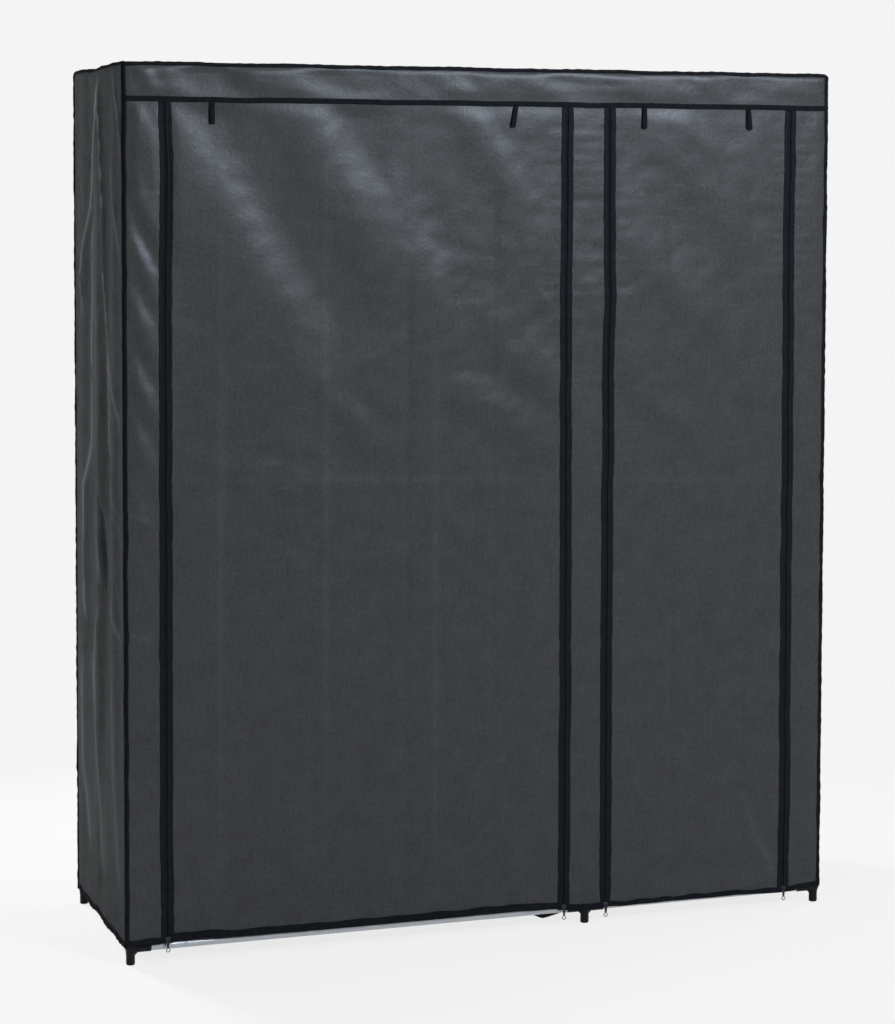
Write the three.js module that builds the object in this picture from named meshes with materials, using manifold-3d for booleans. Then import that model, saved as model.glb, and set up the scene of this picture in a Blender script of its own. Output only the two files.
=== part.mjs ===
// Portable fabric wardrobe: a steel tube frame in plastic connectors, under a zipped non-woven cover.
// Millimetres, +Z up, +X to the right, front towards -Y, origin on the floor below the middle.

import * as THREE from "three";
import { mergeVertices } from "three/addons/utils/BufferGeometryUtils.js";
import Module from "manifold-3d";

const wasm = await Module();
wasm.setup();

// Whole wardrobe
const wardrobeHeight = 1750;
const postSpanWidth = 1472; // between the axes of the outer posts
const postSpanDepth = 466; // between the axes of a front and a back post
const leftBayWidth = 950; // between the axes of the left and the middle posts

// Steel tubes
const tubeDiameter = 16;
const tubeWall = 0.8;
const seatGap = 0.3; // between pieces that touch
const roundSides = 12;

// Plastic connectors
const sleeveDiameter = 19;
const sleeveReach = 40; // from the hub's centre to the mouth of a sleeve
const socketFloor = 12; // from the hub's centre to the blind end of a socket
const lowestBarHeight = 33; // axis of the lowest tubes above the floor
const footDiameter = 16;
const footChamfer = 1.5;
const cutOverrun = 2; // past both ends of every cut

// Shelves and clothes rail
const shelfCount = 4;
const shelfSleeveDiameter = 18.4; // fabric sewn round the shelf's tubes
const shelfFabricThickness = 1.5;
const shelfSag = 9;
const shelfEndMargin = 26; // from the posts' axes to the ends of the fabric
const shelfSegments = 8;
const ringHeight = 24; // moulded ring that slides over a post or a crossbar

// Cover
const coverThickness = 1.5;
const coverEase = 0.5; // between the connectors and the cover
const panelGap = 0.3; // between panels that are sewn together
const headerDepth = 72; // band above the doors
const sideHemHeight = 34;
const backHemHeight = 34;
const leftHemHeight = 41;
const middleHemHeight = 33;
const rightDoorHemHeight = 31;
const rightHemHeight = 34;

// Zips, measured from the axes of the posts beside them
const leftZipInset = 71;
const leftDoorZipOffset = 51.5;
const rightDoorZipOffset = 40.5;
const rightZipInset = 77;
const zipReach = 5.7; // how far the panels reach under a zip, past its centre line
const zipParting = 0.3; // between a panel and a door's edge

// Doors
const doorStripCount = 7;
const stripGap = 0.4;
const firstStripExtra = 10; // the first strip is longer, so that the folded ones lie below the seam

// Drape of the hanging cloth
const sideFold = { depth: 10, count: 3, lean: 0.35 }; // lean: how many folds wide a fold wanders
const backFold = { depth: 5, count: 6, lean: 0.5 };
const heldMargin = 26; // from a panel's edge to where its folds begin
const slackPower = 0.6; // how quickly the folds deepen from there
const topSag = 6;
const sideFoldSegments = 24;
const backFoldSegments = 30;
const heightSegments = 10;
const topSegmentsAcross = 16;
const topSegmentsDeep = 12;

// Zip sliders and their pulls
const sliderWidth = 9;
const sliderNeckWidth = 6.4;
const sliderHeight = 11;
const sliderThickness = 3.4;
const sliderAboveHem = 6; // from the hem to the slider's middle
const bridgeWidth = 2;
const bridgeRadius = 3;
const bridgeBoreRadius = 1.8;
const pullAxisAhead = 1.2; // from the slider's face to the pull's axis
const bridgeRoot = 0.5; // how deep the bridge is rooted in the slider
const pullWidth = 6.4;
const pullNeckWidth = 4;
const pullLength = 25;
const pullThickness = 1.4;
const pullBarHalf = 0.6;
const pullEyeWidth = 3.2;
const pullEyeReach = 3.8;
const pullShoulder = 5.4; // below it the pull tapers to its neck
const pullRingRadius = 4.6;
const pullRingHoleRadius = 2.9;
const smallArcSegments = 5;

// Places that follow from the sizes
const tubeRadius = tubeDiameter / 2;
const sleeveRadius = sleeveDiameter / 2;
const postX = {
  left: -postSpanWidth / 2,
  middle: -postSpanWidth / 2 + leftBayWidth,
  right: postSpanWidth / 2,
};
const postY = { front: -postSpanDepth / 2, back: postSpanDepth / 2 };
const highestBarHeight = wardrobeHeight - coverThickness - coverEase - sleeveRadius;
const coverHalfWidth = postSpanWidth / 2 + sleeveRadius + coverEase + coverThickness;
const coverHalfDepth = postSpanDepth / 2 + sleeveRadius + coverEase + coverThickness;
const wallTop = wardrobeHeight - coverThickness - panelGap;
const seamHeight = wardrobeHeight - headerDepth;
const frontProud = panelGap + sliderThickness + pullAxisAhead + bridgeRadius;
const depthShift = (frontProud - backFold.depth) / 2; // puts the origin below the middle of everything
const zips = {
  left_door_left: { x: postX.left + leftZipInset, hem: leftHemHeight },
  left_door_right: { x: postX.middle - leftDoorZipOffset, hem: middleHemHeight },
  right_door_left: { x: postX.middle + rightDoorZipOffset, hem: rightDoorHemHeight },
  right_door_right: { x: postX.right - rightZipInset, hem: rightDoorHemHeight },
};

const materials = {
  cover: new THREE.MeshStandardMaterial({ color: 0x3d4042, roughness: 0.78, metalness: 0 }),
  door: new THREE.MeshStandardMaterial({ color: 0x424547, roughness: 0.75, metalness: 0 }),
  shelf: new THREE.MeshStandardMaterial({ color: 0x35373a, roughness: 0.85, metalness: 0 }),
  tube: new THREE.MeshStandardMaterial({ color: 0x969ca2, roughness: 0.38, metalness: 0.7 }),
  plastic: new THREE.MeshStandardMaterial({ color: 0x16181b, roughness: 0.5, metalness: 0 }),
  zip: new THREE.MeshStandardMaterial({ color: 0x1b1c1f, roughness: 0.35, metalness: 0.6 }),
};

// Solids that can be joined and cut
function solidOf(geometry) {
  const bare = geometry.clone();
  bare.deleteAttribute("normal");
  bare.deleteAttribute("uv");
  const merged = mergeVertices(bare);
  const mesh = new wasm.Mesh({
    numProp: 3,
    vertProperties: new Float32Array(merged.attributes.position.array),
    triVerts: new Uint32Array(merged.index.array),
  });
  return new wasm.Manifold(mesh);
}

function geometryOf(solid) {
  const mesh = solid.getMesh();
  const geometry = new THREE.BufferGeometry();
  geometry.setAttribute("position", new THREE.BufferAttribute(mesh.vertProperties, mesh.numProp));
  geometry.setIndex(new THREE.BufferAttribute(mesh.triVerts, 1));
  geometry.computeVertexNormals();
  return geometry;
}

function joined(geometries) {
  return geometries.map(solidOf).reduce((whole, piece) => whole.add(piece));
}

function cut(whole, geometries) {
  return geometries.map(solidOf).reduce((left, piece) => left.subtract(piece), whole);
}

// Round shapes that start at the origin and run along a direction
const along = {
  right: new THREE.Vector3(1, 0, 0),
  left: new THREE.Vector3(-1, 0, 0),
  back: new THREE.Vector3(0, 1, 0),
  front: new THREE.Vector3(0, -1, 0),
  up: new THREE.Vector3(0, 0, 1),
  down: new THREE.Vector3(0, 0, -1),
};

function aimed(geometry, direction, from) {
  const turn = new THREE.Quaternion().setFromUnitVectors(along.up, direction);
  geometry.applyQuaternion(turn);
  geometry.translate(direction.x * from, direction.y * from, direction.z * from);
  return geometry;
}

function rod(radius, from, to, direction) {
  const length = to - from;
  const geometry = new THREE.CylinderGeometry(radius, radius, length, roundSides);
  geometry.rotateX(Math.PI / 2);
  geometry.translate(0, 0, length / 2);
  return aimed(geometry, direction, from);
}

function tube(from, to, direction) {
  const bore = tubeRadius - tubeWall;
  const length = to - from;
  const profile = [
    new THREE.Vector2(bore, 0),
    new THREE.Vector2(tubeRadius, 0),
    new THREE.Vector2(tubeRadius, length),
    new THREE.Vector2(bore, length),
    new THREE.Vector2(bore, 0),
  ];
  const geometry = new THREE.LatheGeometry(profile, roundSides);
  geometry.rotateX(Math.PI / 2);
  return aimed(geometry, direction, from);
}

// Connector with a hub at the origin, and a foot below the lowest ones
function connector(sideArms, depthArm, postArm, hasFoot) {
  const arms = [...sideArms, depthArm, postArm];
  const shapes = arms.map((arm) => rod(sleeveRadius, -sleeveRadius, sleeveReach, arm));
  if (hasFoot) shapes.push(foot());
  const bore = tubeRadius + seatGap;
  const isThrough = sideArms.length > 1;
  const cuts = arms.map((arm) => {
    const from = isThrough && sideArms.includes(arm) ? 0 : socketFloor;
    return rod(bore, from, sleeveReach + cutOverrun, arm);
  });
  return geometryOf(cut(joined(shapes), cuts));
}

function foot() {
  const radius = footDiameter / 2;
  const profile = [
    new THREE.Vector2(0, 0),
    new THREE.Vector2(radius - footChamfer, 0),
    new THREE.Vector2(radius, footChamfer),
    new THREE.Vector2(radius, lowestBarHeight),
    new THREE.Vector2(0, lowestBarHeight),
  ];
  const geometry = new THREE.LatheGeometry(profile, roundSides);
  geometry.rotateX(Math.PI / 2);
  geometry.translate(0, 0, -lowestBarHeight);
  return geometry;
}

// Tube with a moulded ring at each end, from the origin to the right
function ringedTube(length, ringAxis) {
  const ends = [0, length];
  const reach = ringHeight / 2;
  const rings = ends.map((x) => rod(sleeveRadius, -reach, reach, ringAxis).translate(x, 0, 0));
  const bores = ends.map((x) =>
    rod(tubeRadius + seatGap, -reach - cutOverrun, reach + cutOverrun, ringAxis).translate(x, 0, 0),
  );
  return cut(joined([rod(tubeRadius, 0, length, along.right), ...rings]), bores);
}

// Fabric shelf with a tube sewn into its front and its back, its origin on the middle posts' plane
function shelf() {
  const span = postSpanWidth - leftBayWidth;
  const fabricLength = span - shelfEndMargin * 2;
  const sleeveShelfRadius = shelfSleeveDiameter / 2;
  const tubes = Object.values(postY).map((y) =>
    ringedTube(span, along.up).translate([0, y, 0]),
  );
  const sleeves = Object.values(postY).map((y) => {
    const sleeve = rod(sleeveShelfRadius, shelfEndMargin, span - shelfEndMargin, along.right);
    return solidOf(sleeve.translate(0, y, 0));
  });
  const fabric = new THREE.BoxGeometry(
    fabricLength, postSpanDepth, shelfFabricThickness, 1, shelfSegments, 1,
  );
  bend(fabric, along.down, (place) => shelfSag * Math.sin(Math.PI * shareOf(place.y, postSpanDepth)));
  fabric.translate(span / 2, 0, sleeveShelfRadius - shelfFabricThickness / 2);
  return geometryOf([...tubes, ...sleeves].reduce((whole, piece) => whole.add(piece), solidOf(fabric)));
}

// Cloth
function shareOf(place, size) {
  return place / size + 0.5;
}

function bend(geometry, direction, depthAt) {
  const places = geometry.attributes.position;
  const place = new THREE.Vector3();
  for (let i = 0; i < places.count; i += 1) {
    place.fromBufferAttribute(places, i);
    place.addScaledVector(direction, depthAt(place));
    places.setXYZ(i, place.x, place.y, place.z);
  }
  return geometry;
}

// Share of its full depth that a fold has at a place, none near the edges that the frame holds
function slack(place, size) {
  const share = (place + size / 2 - heldMargin) / (size - heldMargin * 2);
  return share > 0 && share < 1 ? Math.sin(Math.PI * share) ** slackPower : 0;
}

function verticalFold(across, up, width, height, fold) {
  const turns = fold.count * shareOf(across, width) + fold.lean * shareOf(up, height);
  const wave = (1 + Math.sin(2 * Math.PI * turns)) / 2;
  return fold.depth * slack(across, width) * slack(up, height) * wave;
}

function sidePanel(inward) {
  const depth = (coverHalfDepth - coverThickness - panelGap) * 2;
  const height = wallTop - sideHemHeight;
  const panel = new THREE.BoxGeometry(coverThickness, depth, height, 1, sideFoldSegments, heightSegments);
  bend(panel, inward, (place) => verticalFold(place.y, place.z, depth, height, sideFold));
  const middle = coverHalfWidth - coverThickness / 2;
  return panel.translate(-inward.x * middle, 0, sideHemHeight + height / 2);
}

function backPanel() {
  const width = coverHalfWidth * 2;
  const height = wallTop - backHemHeight;
  const panel = new THREE.BoxGeometry(width, coverThickness, height, backFoldSegments, 1, heightSegments);
  bend(panel, along.back, (place) => verticalFold(place.x, place.z, width, height, backFold));
  return panel.translate(0, coverHalfDepth - coverThickness / 2, backHemHeight + height / 2);
}

function topPanel() {
  const width = coverHalfWidth * 2;
  const depth = coverHalfDepth * 2;
  const panel = new THREE.BoxGeometry(
    width, depth, coverThickness, topSegmentsAcross, topSegmentsDeep, 1,
  );
  bend(panel, along.down, (place) => topSagAt(place.x, place.y));
  return panel.translate(0, 0, wardrobeHeight - coverThickness / 2);
}

// The top sags between the crossbars, in front of the clothes rail and behind it
function topSagAt(x, y) {
  const lobe = postSpanDepth / 2 - sleeveReach;
  if (Math.abs(x) >= postX.right || Math.abs(y) >= lobe) return 0;
  const isLeft = x < postX.middle;
  const start = isLeft ? postX.left : postX.middle;
  const width = isLeft ? leftBayWidth : postSpanWidth - leftBayWidth;
  const acrossBay = Math.sin((Math.PI * (x - start)) / width);
  const overDepth = Math.sin((Math.PI * Math.abs(y)) / lobe);
  return topSag * acrossBay * overDepth;
}

// Flat sheet in the front wall, from its corners in X and Z
function frontSheet(corners) {
  const shape = new THREE.Shape(corners.map(([x, z]) => new THREE.Vector2(x, z)));
  const geometry = new THREE.ExtrudeGeometry(shape, { depth: coverThickness, bevelEnabled: false });
  geometry.rotateX(Math.PI / 2);
  return geometry.translate(0, -coverHalfDepth + coverThickness, 0);
}

// Header band with the three narrow panels that hang between and beside the doors
function frontPanel() {
  const edge = coverHalfWidth;
  return frontSheet([
    [-edge, wallTop],
    [-edge, leftHemHeight],
    [zips.left_door_left.x + zipReach, leftHemHeight],
    [zips.left_door_left.x + zipReach, seamHeight],
    [zips.left_door_right.x - zipReach, seamHeight],
    [zips.left_door_right.x - zipReach, middleHemHeight],
    [zips.right_door_left.x + zipReach, rightDoorHemHeight],
    [zips.right_door_left.x + zipReach, seamHeight],
    [zips.right_door_right.x - zipReach, seamHeight],
    [zips.right_door_right.x - zipReach, rightDoorHemHeight],
    [edge, rightHemHeight],
    [edge, wallTop],
  ]);
}

// One of the strips into which a door's cloth is divided so that it can roll up
function doorStrip(leftZip, rightZip, index) {
  const inset = zipReach + zipParting;
  const left = leftZip.x + inset;
  const right = rightZip.x - inset;
  const start = seamHeight - firstStripExtra;
  const pitch = (start - rightZip.hem) / doorStripCount;
  const top = index ? start - pitch * index - stripGap / 2 : seamHeight - panelGap;
  const isLast = index === doorStripCount - 1;
  const low = start - pitch * (index + 1) + stripGap / 2;
  return frontSheet([
    [left, top],
    [left, isLast ? leftZip.hem : low],
    [right, isLast ? rightZip.hem : low],
    [right, top],
  ]);
}

// Slider at the origin's height, its back on the plane Y = 0, with a bridge for the pull in front
function slider() {
  const high = sliderHeight / 2;
  const body = new THREE.Shape([
    new THREE.Vector2(-sliderNeckWidth / 2, -high),
    new THREE.Vector2(sliderNeckWidth / 2, -high),
    new THREE.Vector2(sliderWidth / 2, 0),
    new THREE.Vector2(sliderWidth / 2, high),
    new THREE.Vector2(-sliderWidth / 2, high),
    new THREE.Vector2(-sliderWidth / 2, 0),
  ]);
  const plate = new THREE.ExtrudeGeometry(body, { depth: sliderThickness, bevelEnabled: false });
  plate.rotateX(Math.PI / 2);
  return geometryOf(joined([plate, bridge()]));
}

function bridge() {
  const quarter = Math.PI / 2;
  const arch = new THREE.Shape();
  arch.moveTo(-bridgeRoot, -bridgeRadius);
  arch.lineTo(pullAxisAhead, -bridgeRadius);
  arch.absarc(pullAxisAhead, 0, bridgeRadius, -quarter, quarter, false);
  arch.lineTo(-bridgeRoot, bridgeRadius);
  arch.lineTo(-bridgeRoot, bridgeBoreRadius);
  arch.lineTo(pullAxisAhead, bridgeBoreRadius);
  arch.absarc(pullAxisAhead, 0, bridgeBoreRadius, quarter, -quarter, true);
  arch.lineTo(-bridgeRoot, -bridgeBoreRadius);
  arch.closePath();
  const geometry = new THREE.ExtrudeGeometry(arch, {
    depth: bridgeWidth,
    bevelEnabled: false,
    curveSegments: smallArcSegments,
  });
  const axes = new THREE.Matrix4().makeBasis(along.front, along.up, along.left);
  geometry.applyMatrix4(axes);
  return geometry.translate(bridgeWidth / 2, -sliderThickness, 0);
}

// Pull that hangs from its axis at the origin, with a ring at its lower end
function pull() {
  const neck = pullNeckWidth / 2;
  const ringMiddle = -pullLength + pullRingRadius;
  const opening = Math.asin(neck / pullRingRadius);
  const quarter = Math.PI / 2;
  const plate = new THREE.Shape();
  plate.moveTo(pullWidth / 2, pullBarHalf);
  plate.lineTo(-pullWidth / 2, pullBarHalf);
  plate.lineTo(-pullWidth / 2, -pullShoulder);
  plate.absarc(0, ringMiddle, pullRingRadius, quarter + opening, quarter * 5 - opening, false);
  plate.lineTo(pullWidth / 2, -pullShoulder);
  plate.closePath();
  const eye = new THREE.Path([
    new THREE.Vector2(-pullEyeWidth / 2, -pullBarHalf),
    new THREE.Vector2(-pullEyeWidth / 2, -pullEyeReach),
    new THREE.Vector2(pullEyeWidth / 2, -pullEyeReach),
    new THREE.Vector2(pullEyeWidth / 2, -pullBarHalf),
  ]);
  const hole = new THREE.Path();
  hole.absarc(0, ringMiddle, pullRingHoleRadius, 0, 2 * Math.PI, true);
  plate.holes.push(eye, hole);
  const geometry = new THREE.ExtrudeGeometry(plate, {
    depth: pullThickness,
    bevelEnabled: false,
    curveSegments: smallArcSegments,
  });
  geometry.rotateX(Math.PI / 2);
  return geometry.translate(0, pullThickness / 2, 0);
}

// Assembly
const wardrobe = new THREE.Group();
wardrobe.position.y = depthShift;

function place(name, geometry, material, x = 0, y = 0, z = 0) {
  const mesh = new THREE.Mesh(geometry, material);
  mesh.name = name;
  mesh.position.set(x, y, z);
  wardrobe.add(mesh);
}

function placeFrame() {
  const sideArms = {
    left: [along.right],
    middle: [along.left, along.right],
    right: [along.left],
  };
  const depthArms = { front: along.back, back: along.front };
  const seat = socketFloor + seatGap;
  const postLength = highestBarHeight - lowestBarHeight;
  for (const [row, y] of Object.entries(postY)) {
    for (const [column, x] of Object.entries(postX)) {
      const corner = `${row}_${column}`;
      const low = connector(sideArms[column], depthArms[row], along.up, true);
      const high = connector(sideArms[column], depthArms[row], along.down, false);
      place(`${corner}_post`, tube(seat, postLength - seat, along.up), materials.tube, x, y, lowestBarHeight);
      place(`${corner}_bottom_connector`, low, materials.plastic, x, y, lowestBarHeight);
      place(`${corner}_top_connector`, high, materials.plastic, x, y, highestBarHeight);
    }
  }
  const levels = { bottom: lowestBarHeight, top: highestBarHeight };
  for (const [level, z] of Object.entries(levels)) {
    for (const [row, y] of Object.entries(postY)) {
      const bar = tube(seat, postSpanWidth - seat, along.right);
      place(`${row}_${level}_bar`, bar, materials.tube, postX.left, y, z);
    }
    for (const [column, x] of Object.entries(postX)) {
      const crossbar = tube(seat, postSpanDepth - seat, along.back);
      place(`${column}_${level}_crossbar`, crossbar, materials.tube, x, postY.front, z);
    }
  }
}

function placeInside() {
  const hollow = rod(tubeRadius - tubeWall, 0, leftBayWidth, along.right);
  const rail = geometryOf(cut(ringedTube(leftBayWidth, along.back), [hollow]));
  place("clothes_rail", rail, materials.tube, postX.left, 0, highestBarHeight);
  const shelfPitch = (highestBarHeight - lowestBarHeight) / (shelfCount + 1);
  for (let i = 1; i <= shelfCount; i += 1) {
    place(`shelf_${i}`, shelf(), materials.shelf, postX.middle, 0, lowestBarHeight + shelfPitch * i);
  }
}

function placeCover() {
  place("cover_top", topPanel(), materials.cover);
  place("cover_back", backPanel(), materials.cover);
  place("cover_left", sidePanel(along.right), materials.cover);
  place("cover_right", sidePanel(along.left), materials.cover);
  place("cover_front", frontPanel(), materials.cover);
}

function placeDoor(name, leftZip, rightZip) {
  for (let i = 0; i < doorStripCount; i += 1) {
    place(`${name}_strip_${i + 1}`, doorStrip(leftZip, rightZip, i), materials.door);
  }
}

function placeZips() {
  const back = -coverHalfDepth - panelGap;
  for (const [name, zip] of Object.entries(zips)) {
    const z = zip.hem + sliderAboveHem;
    place(`${name}_slider`, slider(), materials.zip, zip.x, back, z);
    place(`${name}_pull`, pull(), materials.zip, zip.x, back - sliderThickness - pullAxisAhead, z);
  }
}

placeFrame();
placeInside();
placeCover();
placeDoor("left_door", zips.left_door_left, zips.left_door_right);
placeDoor("right_door", zips.right_door_left, zips.right_door_right);
placeZips();

export default wardrobe;
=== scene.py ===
"""Portable fabric wardrobe: a steel tube frame under a zipped cover of grey non-woven cloth.

Metres, +Z up, +X to the right seen from the front, the doors face -Y.
"""

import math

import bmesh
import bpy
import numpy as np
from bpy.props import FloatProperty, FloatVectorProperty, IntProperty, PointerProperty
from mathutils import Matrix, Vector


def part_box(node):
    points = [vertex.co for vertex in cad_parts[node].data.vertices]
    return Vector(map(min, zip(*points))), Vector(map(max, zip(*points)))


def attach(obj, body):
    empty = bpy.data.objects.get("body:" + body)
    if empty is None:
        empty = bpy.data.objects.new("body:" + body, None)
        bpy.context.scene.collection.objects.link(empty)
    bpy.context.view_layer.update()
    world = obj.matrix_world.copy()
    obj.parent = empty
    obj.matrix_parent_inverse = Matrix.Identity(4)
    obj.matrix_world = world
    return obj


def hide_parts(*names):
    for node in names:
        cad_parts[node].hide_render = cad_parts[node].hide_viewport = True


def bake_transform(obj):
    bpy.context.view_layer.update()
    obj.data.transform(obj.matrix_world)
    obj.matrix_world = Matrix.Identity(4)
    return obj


bl_info = {
    "name": "Portable Fabric Wardrobe",
    "version": (1, 0, 0),
    "blender": (4, 5, 0),
    "location": "View3D > Sidebar > Wardrobe",
    "description": "Builds the cover, doors, zips, trim, shelves and tube frame of a fabric wardrobe",
    "category": "Object",
}

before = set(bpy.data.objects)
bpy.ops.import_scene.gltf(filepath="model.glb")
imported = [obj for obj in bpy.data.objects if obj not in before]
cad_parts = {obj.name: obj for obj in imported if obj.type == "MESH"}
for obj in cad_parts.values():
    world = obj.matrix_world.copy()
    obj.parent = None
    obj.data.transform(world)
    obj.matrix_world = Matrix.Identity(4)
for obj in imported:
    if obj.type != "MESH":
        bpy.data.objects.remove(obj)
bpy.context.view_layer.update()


# Places that follow from the frame
def node_middle(node):
    low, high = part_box(node)
    return (low + high) / 2


def node_size(node):
    low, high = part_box(node)
    return high - low


BODY = "wardrobe"
ROWS = ("front", "back")
COLUMNS = ("left", "middle", "right")
LEVELS = ("bottom", "top")
POST_X = {column: node_middle(f"front_{column}_post").x for column in COLUMNS}
POST_Y = {row: node_middle(f"{row}_left_post").y for row in ROWS}
BAR_Z = {level: node_middle(f"front_{level}_bar").z for level in LEVELS}
TUBE_RADIUS = node_size("front_left_post").x / 2
COVER_LOW, COVER_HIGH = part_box("cover_top")
FRONT_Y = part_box("cover_front")[0].y
BACK_Y = COVER_HIGH.y
SIDE_X = {"left": COVER_LOW.x, "right": COVER_HIGH.x}
CORNER_RADIUS = POST_Y["front"] - FRONT_Y
STRIP_COUNT = 7
PANEL_GAP = 0.0003
SEAM_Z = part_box("left_door_strip_1")[1].z + PANEL_GAP
SLIDER_ABOVE_HEM = 0.006
DOORS = {
    "left_door": ("left_door_left", "left_door_right"),
    "right_door": ("right_door_left", "right_door_right"),
}
ZIP_NAMES = [name for pair in DOORS.values() for name in pair]
ZIP_X = {name: node_middle(f"{name}_slider").x for name in ZIP_NAMES}
ZIP_HEM = {
    name: (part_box(f"{name}_slider")[0].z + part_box(f"{name}_slider")[1].z) / 2 - SLIDER_ABOVE_HEM
    for name in ZIP_NAMES
}
HEM_LINE = (  # lower edge of the front in X and Z
    (-0.7475, 0.0385), (-0.700, 0.0393), (-0.680, 0.0399), (-0.665, 0.0410), (-0.655, 0.0443),
    (-0.600, 0.0440), (-0.560, 0.0410), (-0.520, 0.0398), (-0.350, 0.0385), (-0.100, 0.0385),
    (0.070, 0.0400), (0.100, 0.0375), (0.150, 0.0365), (0.1625, 0.0330), (0.190, 0.0298),
    (0.220, 0.0295), (0.245, 0.0310), (0.2545, 0.0325), (0.290, 0.0312), (0.420, 0.0316),
    (0.560, 0.0316), (0.650, 0.0280), (0.659, 0.0288), (0.675, 0.0296), (0.700, 0.0318),
    (0.7475, 0.0380),
)
HEM_LAP = 0.0012  # how far the hem tape reaches below the cloth
SIDE_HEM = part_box("cover_left")[0].z
BACK_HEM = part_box("cover_back")[0].z
SHELF_COUNT = 4
FRONT_PARTS = ("left_margin", "left_door", "middle_strip", "right_door", "right_margin")
FRONT_EDGES = (SIDE_X["left"], *ZIP_X.values(), SIDE_X["right"])
FRONT_SPANS = dict(zip(FRONT_PARTS, zip(FRONT_EDGES, FRONT_EDGES[1:])))
COVER_WIDTH = SIDE_X["right"] - SIDE_X["left"]
COVER_DEPTH = BACK_Y - FRONT_Y
RAIL_Y = (POST_Y["front"] + POST_Y["back"]) / 2
INWARD = {"left": 1.0, "right": -1.0, "front": 1.0, "back": -1.0}  # towards the middle along X or Y
HALF = 0.5
FULL_TURN = 2 * math.pi


# Sizes and colours that a user would change
def length_setting(name, description, default, low, high):
    return FloatProperty(
        name=name, description=description, default=default, min=low, max=high, unit="LENGTH",
    )


def colour_setting(name, description, default):
    return FloatVectorProperty(
        name=name, description=description, default=default, size=3, min=0.0, max=1.0, subtype="COLOR",
    )


def angle_setting(name, description, degrees):
    return FloatProperty(name=name, description=description, default=math.radians(degrees), subtype="ANGLE")


def power_setting(name, description, default):
    return FloatProperty(name=name, description=description, default=default, unit="POWER")


class ClothSettings(bpy.types.PropertyGroup):
    thickness: length_setting("Cloth thickness", "Thickness of the non-woven cloth", 0.0008, 0.0002, 0.003)
    grid: length_setting("Grid", "Size of a face of the front cloth", 0.006, 0.003, 0.03)
    side_grid: length_setting(
        "Side grid", "Size of a face of the other walls and the top", 0.009, 0.003, 0.03,
    )
    relief: FloatProperty(
        name="Relief", description="How strongly the front cloth is creased", default=1.0, min=0.0, max=2.0,
    )
    cover_colour: colour_setting(
        "Cover colour", "Colour of the cover's walls and top", (0.0358, 0.0371, 0.0380),
    )
    door_colour: colour_setting(
        "Door colour", "Colour of the doors and the front", (0.0308, 0.0299, 0.0294),
    )
    shelf_colour: colour_setting("Shelf colour", "Colour of the fabric shelves", (0.038, 0.040, 0.043))


class TrimSettings(bpy.types.PropertyGroup):
    binding_width: length_setting("Binding width", "Width of the tape over the seams", 0.0104, 0.004, 0.03)
    hem_height: length_setting(
        "Hem height", "Height of the tape round the lower edges", 0.0125, 0.004, 0.03,
    )
    tape_width: length_setting("Zip tape width", "Width of one half of a zip", 0.0130, 0.006, 0.03)
    loop_length: length_setting(
        "Tie loop length", "Length of a tie loop below the header seam", 0.041, 0.01, 0.2,
    )
    loop_width: length_setting("Tie loop width", "Width of the ribbon of a tie loop", 0.0095, 0.004, 0.03)
    binding_colour: colour_setting(
        "Binding colour", "Colour of the bindings, hems and tie loops", (0.0078, 0.0084, 0.0100),
    )
    tape_colour: colour_setting("Zip tape colour", "Colour of the zip tapes", (0.0060, 0.0065, 0.0080))


class FrameSettings(bpy.types.PropertyGroup):
    sides: IntProperty(name="Sides", description="Sides of a round tube", default=32, min=12, max=96)
    tube_colour: colour_setting("Tube colour", "Colour of the painted steel tubes", (0.41, 0.425, 0.44))
    plastic_colour: colour_setting(
        "Connector colour", "Colour of the moulded connectors", (0.0065, 0.0068, 0.0074),
    )
    metal_colour: colour_setting(
        "Slider colour", "Colour of the painted zip sliders and pulls", (0.014, 0.014, 0.016),
    )


class StageSettings(bpy.types.PropertyGroup):
    backdrop: colour_setting("Backdrop", "Colour of the floor and the backdrop", (0.905, 0.905, 0.905))
    camera_place: FloatVectorProperty(
        name="Camera place", description="Where the camera stands",
        default=(-1.7903, -5.2044, 1.5037), size=3, subtype="TRANSLATION",
    )
    camera_yaw: angle_setting("Yaw", "How far the camera looks to the right of +Y", 18.898)
    camera_pitch: angle_setting("Pitch", "How far the camera looks up", -3.454)
    camera_roll: angle_setting("Roll", "How far the camera leans", 0.162)
    lens: FloatProperty(
        name="Lens", description="Focal length in millimetres", default=92.675, min=10, max=300,
    )
    shift: FloatProperty(name="Shift", description="Vertical shift of the lens", default=-0.158)
    key_power: power_setting("Key light", "Power of the lamp above the front", 150.0)
    fill_power: power_setting("Fill light", "Power of the lamp on the left", 250.0)
    top_power: power_setting("Top light", "Power of the lamp above the top", 60.0)
    right_power: power_setting("Right light", "Power of the lamp on the right", 62.0)
    sky: FloatProperty(name="Sky", description="Strength of the light from all round", default=0.14)


# Shader nodes
def shader(name, roughness, **sockets):
    """A material with one Principled shader and the constants that are given for its sockets."""
    material = bpy.data.materials.new(name)
    material.use_nodes = True
    node = material.node_tree.nodes["Principled BSDF"]
    node.inputs["Roughness"].default_value = roughness
    for socket, value in sockets.items():
        node.inputs[socket.replace("_", " ")].default_value = value
    return material, node


def add_node(material, kind, inputs=None, **settings):
    node = material.node_tree.nodes.new(kind)
    for key, value in settings.items():
        setattr(node, key, value)
    for socket, value in (inputs or {}).items():
        if isinstance(value, bpy.types.NodeSocket):
            material.node_tree.links.new(value, node.inputs[socket])
        else:
            node.inputs[socket].default_value = value
    return node


def cloth_coordinates(material):
    """Metres across and along the cloth, which stay on it when it folds."""
    return add_node(material, "ShaderNodeAttribute", attribute_name="cloth_place").outputs["Vector"]


def object_coordinates(material):
    return add_node(material, "ShaderNodeTexCoord").outputs["Object"]


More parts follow.
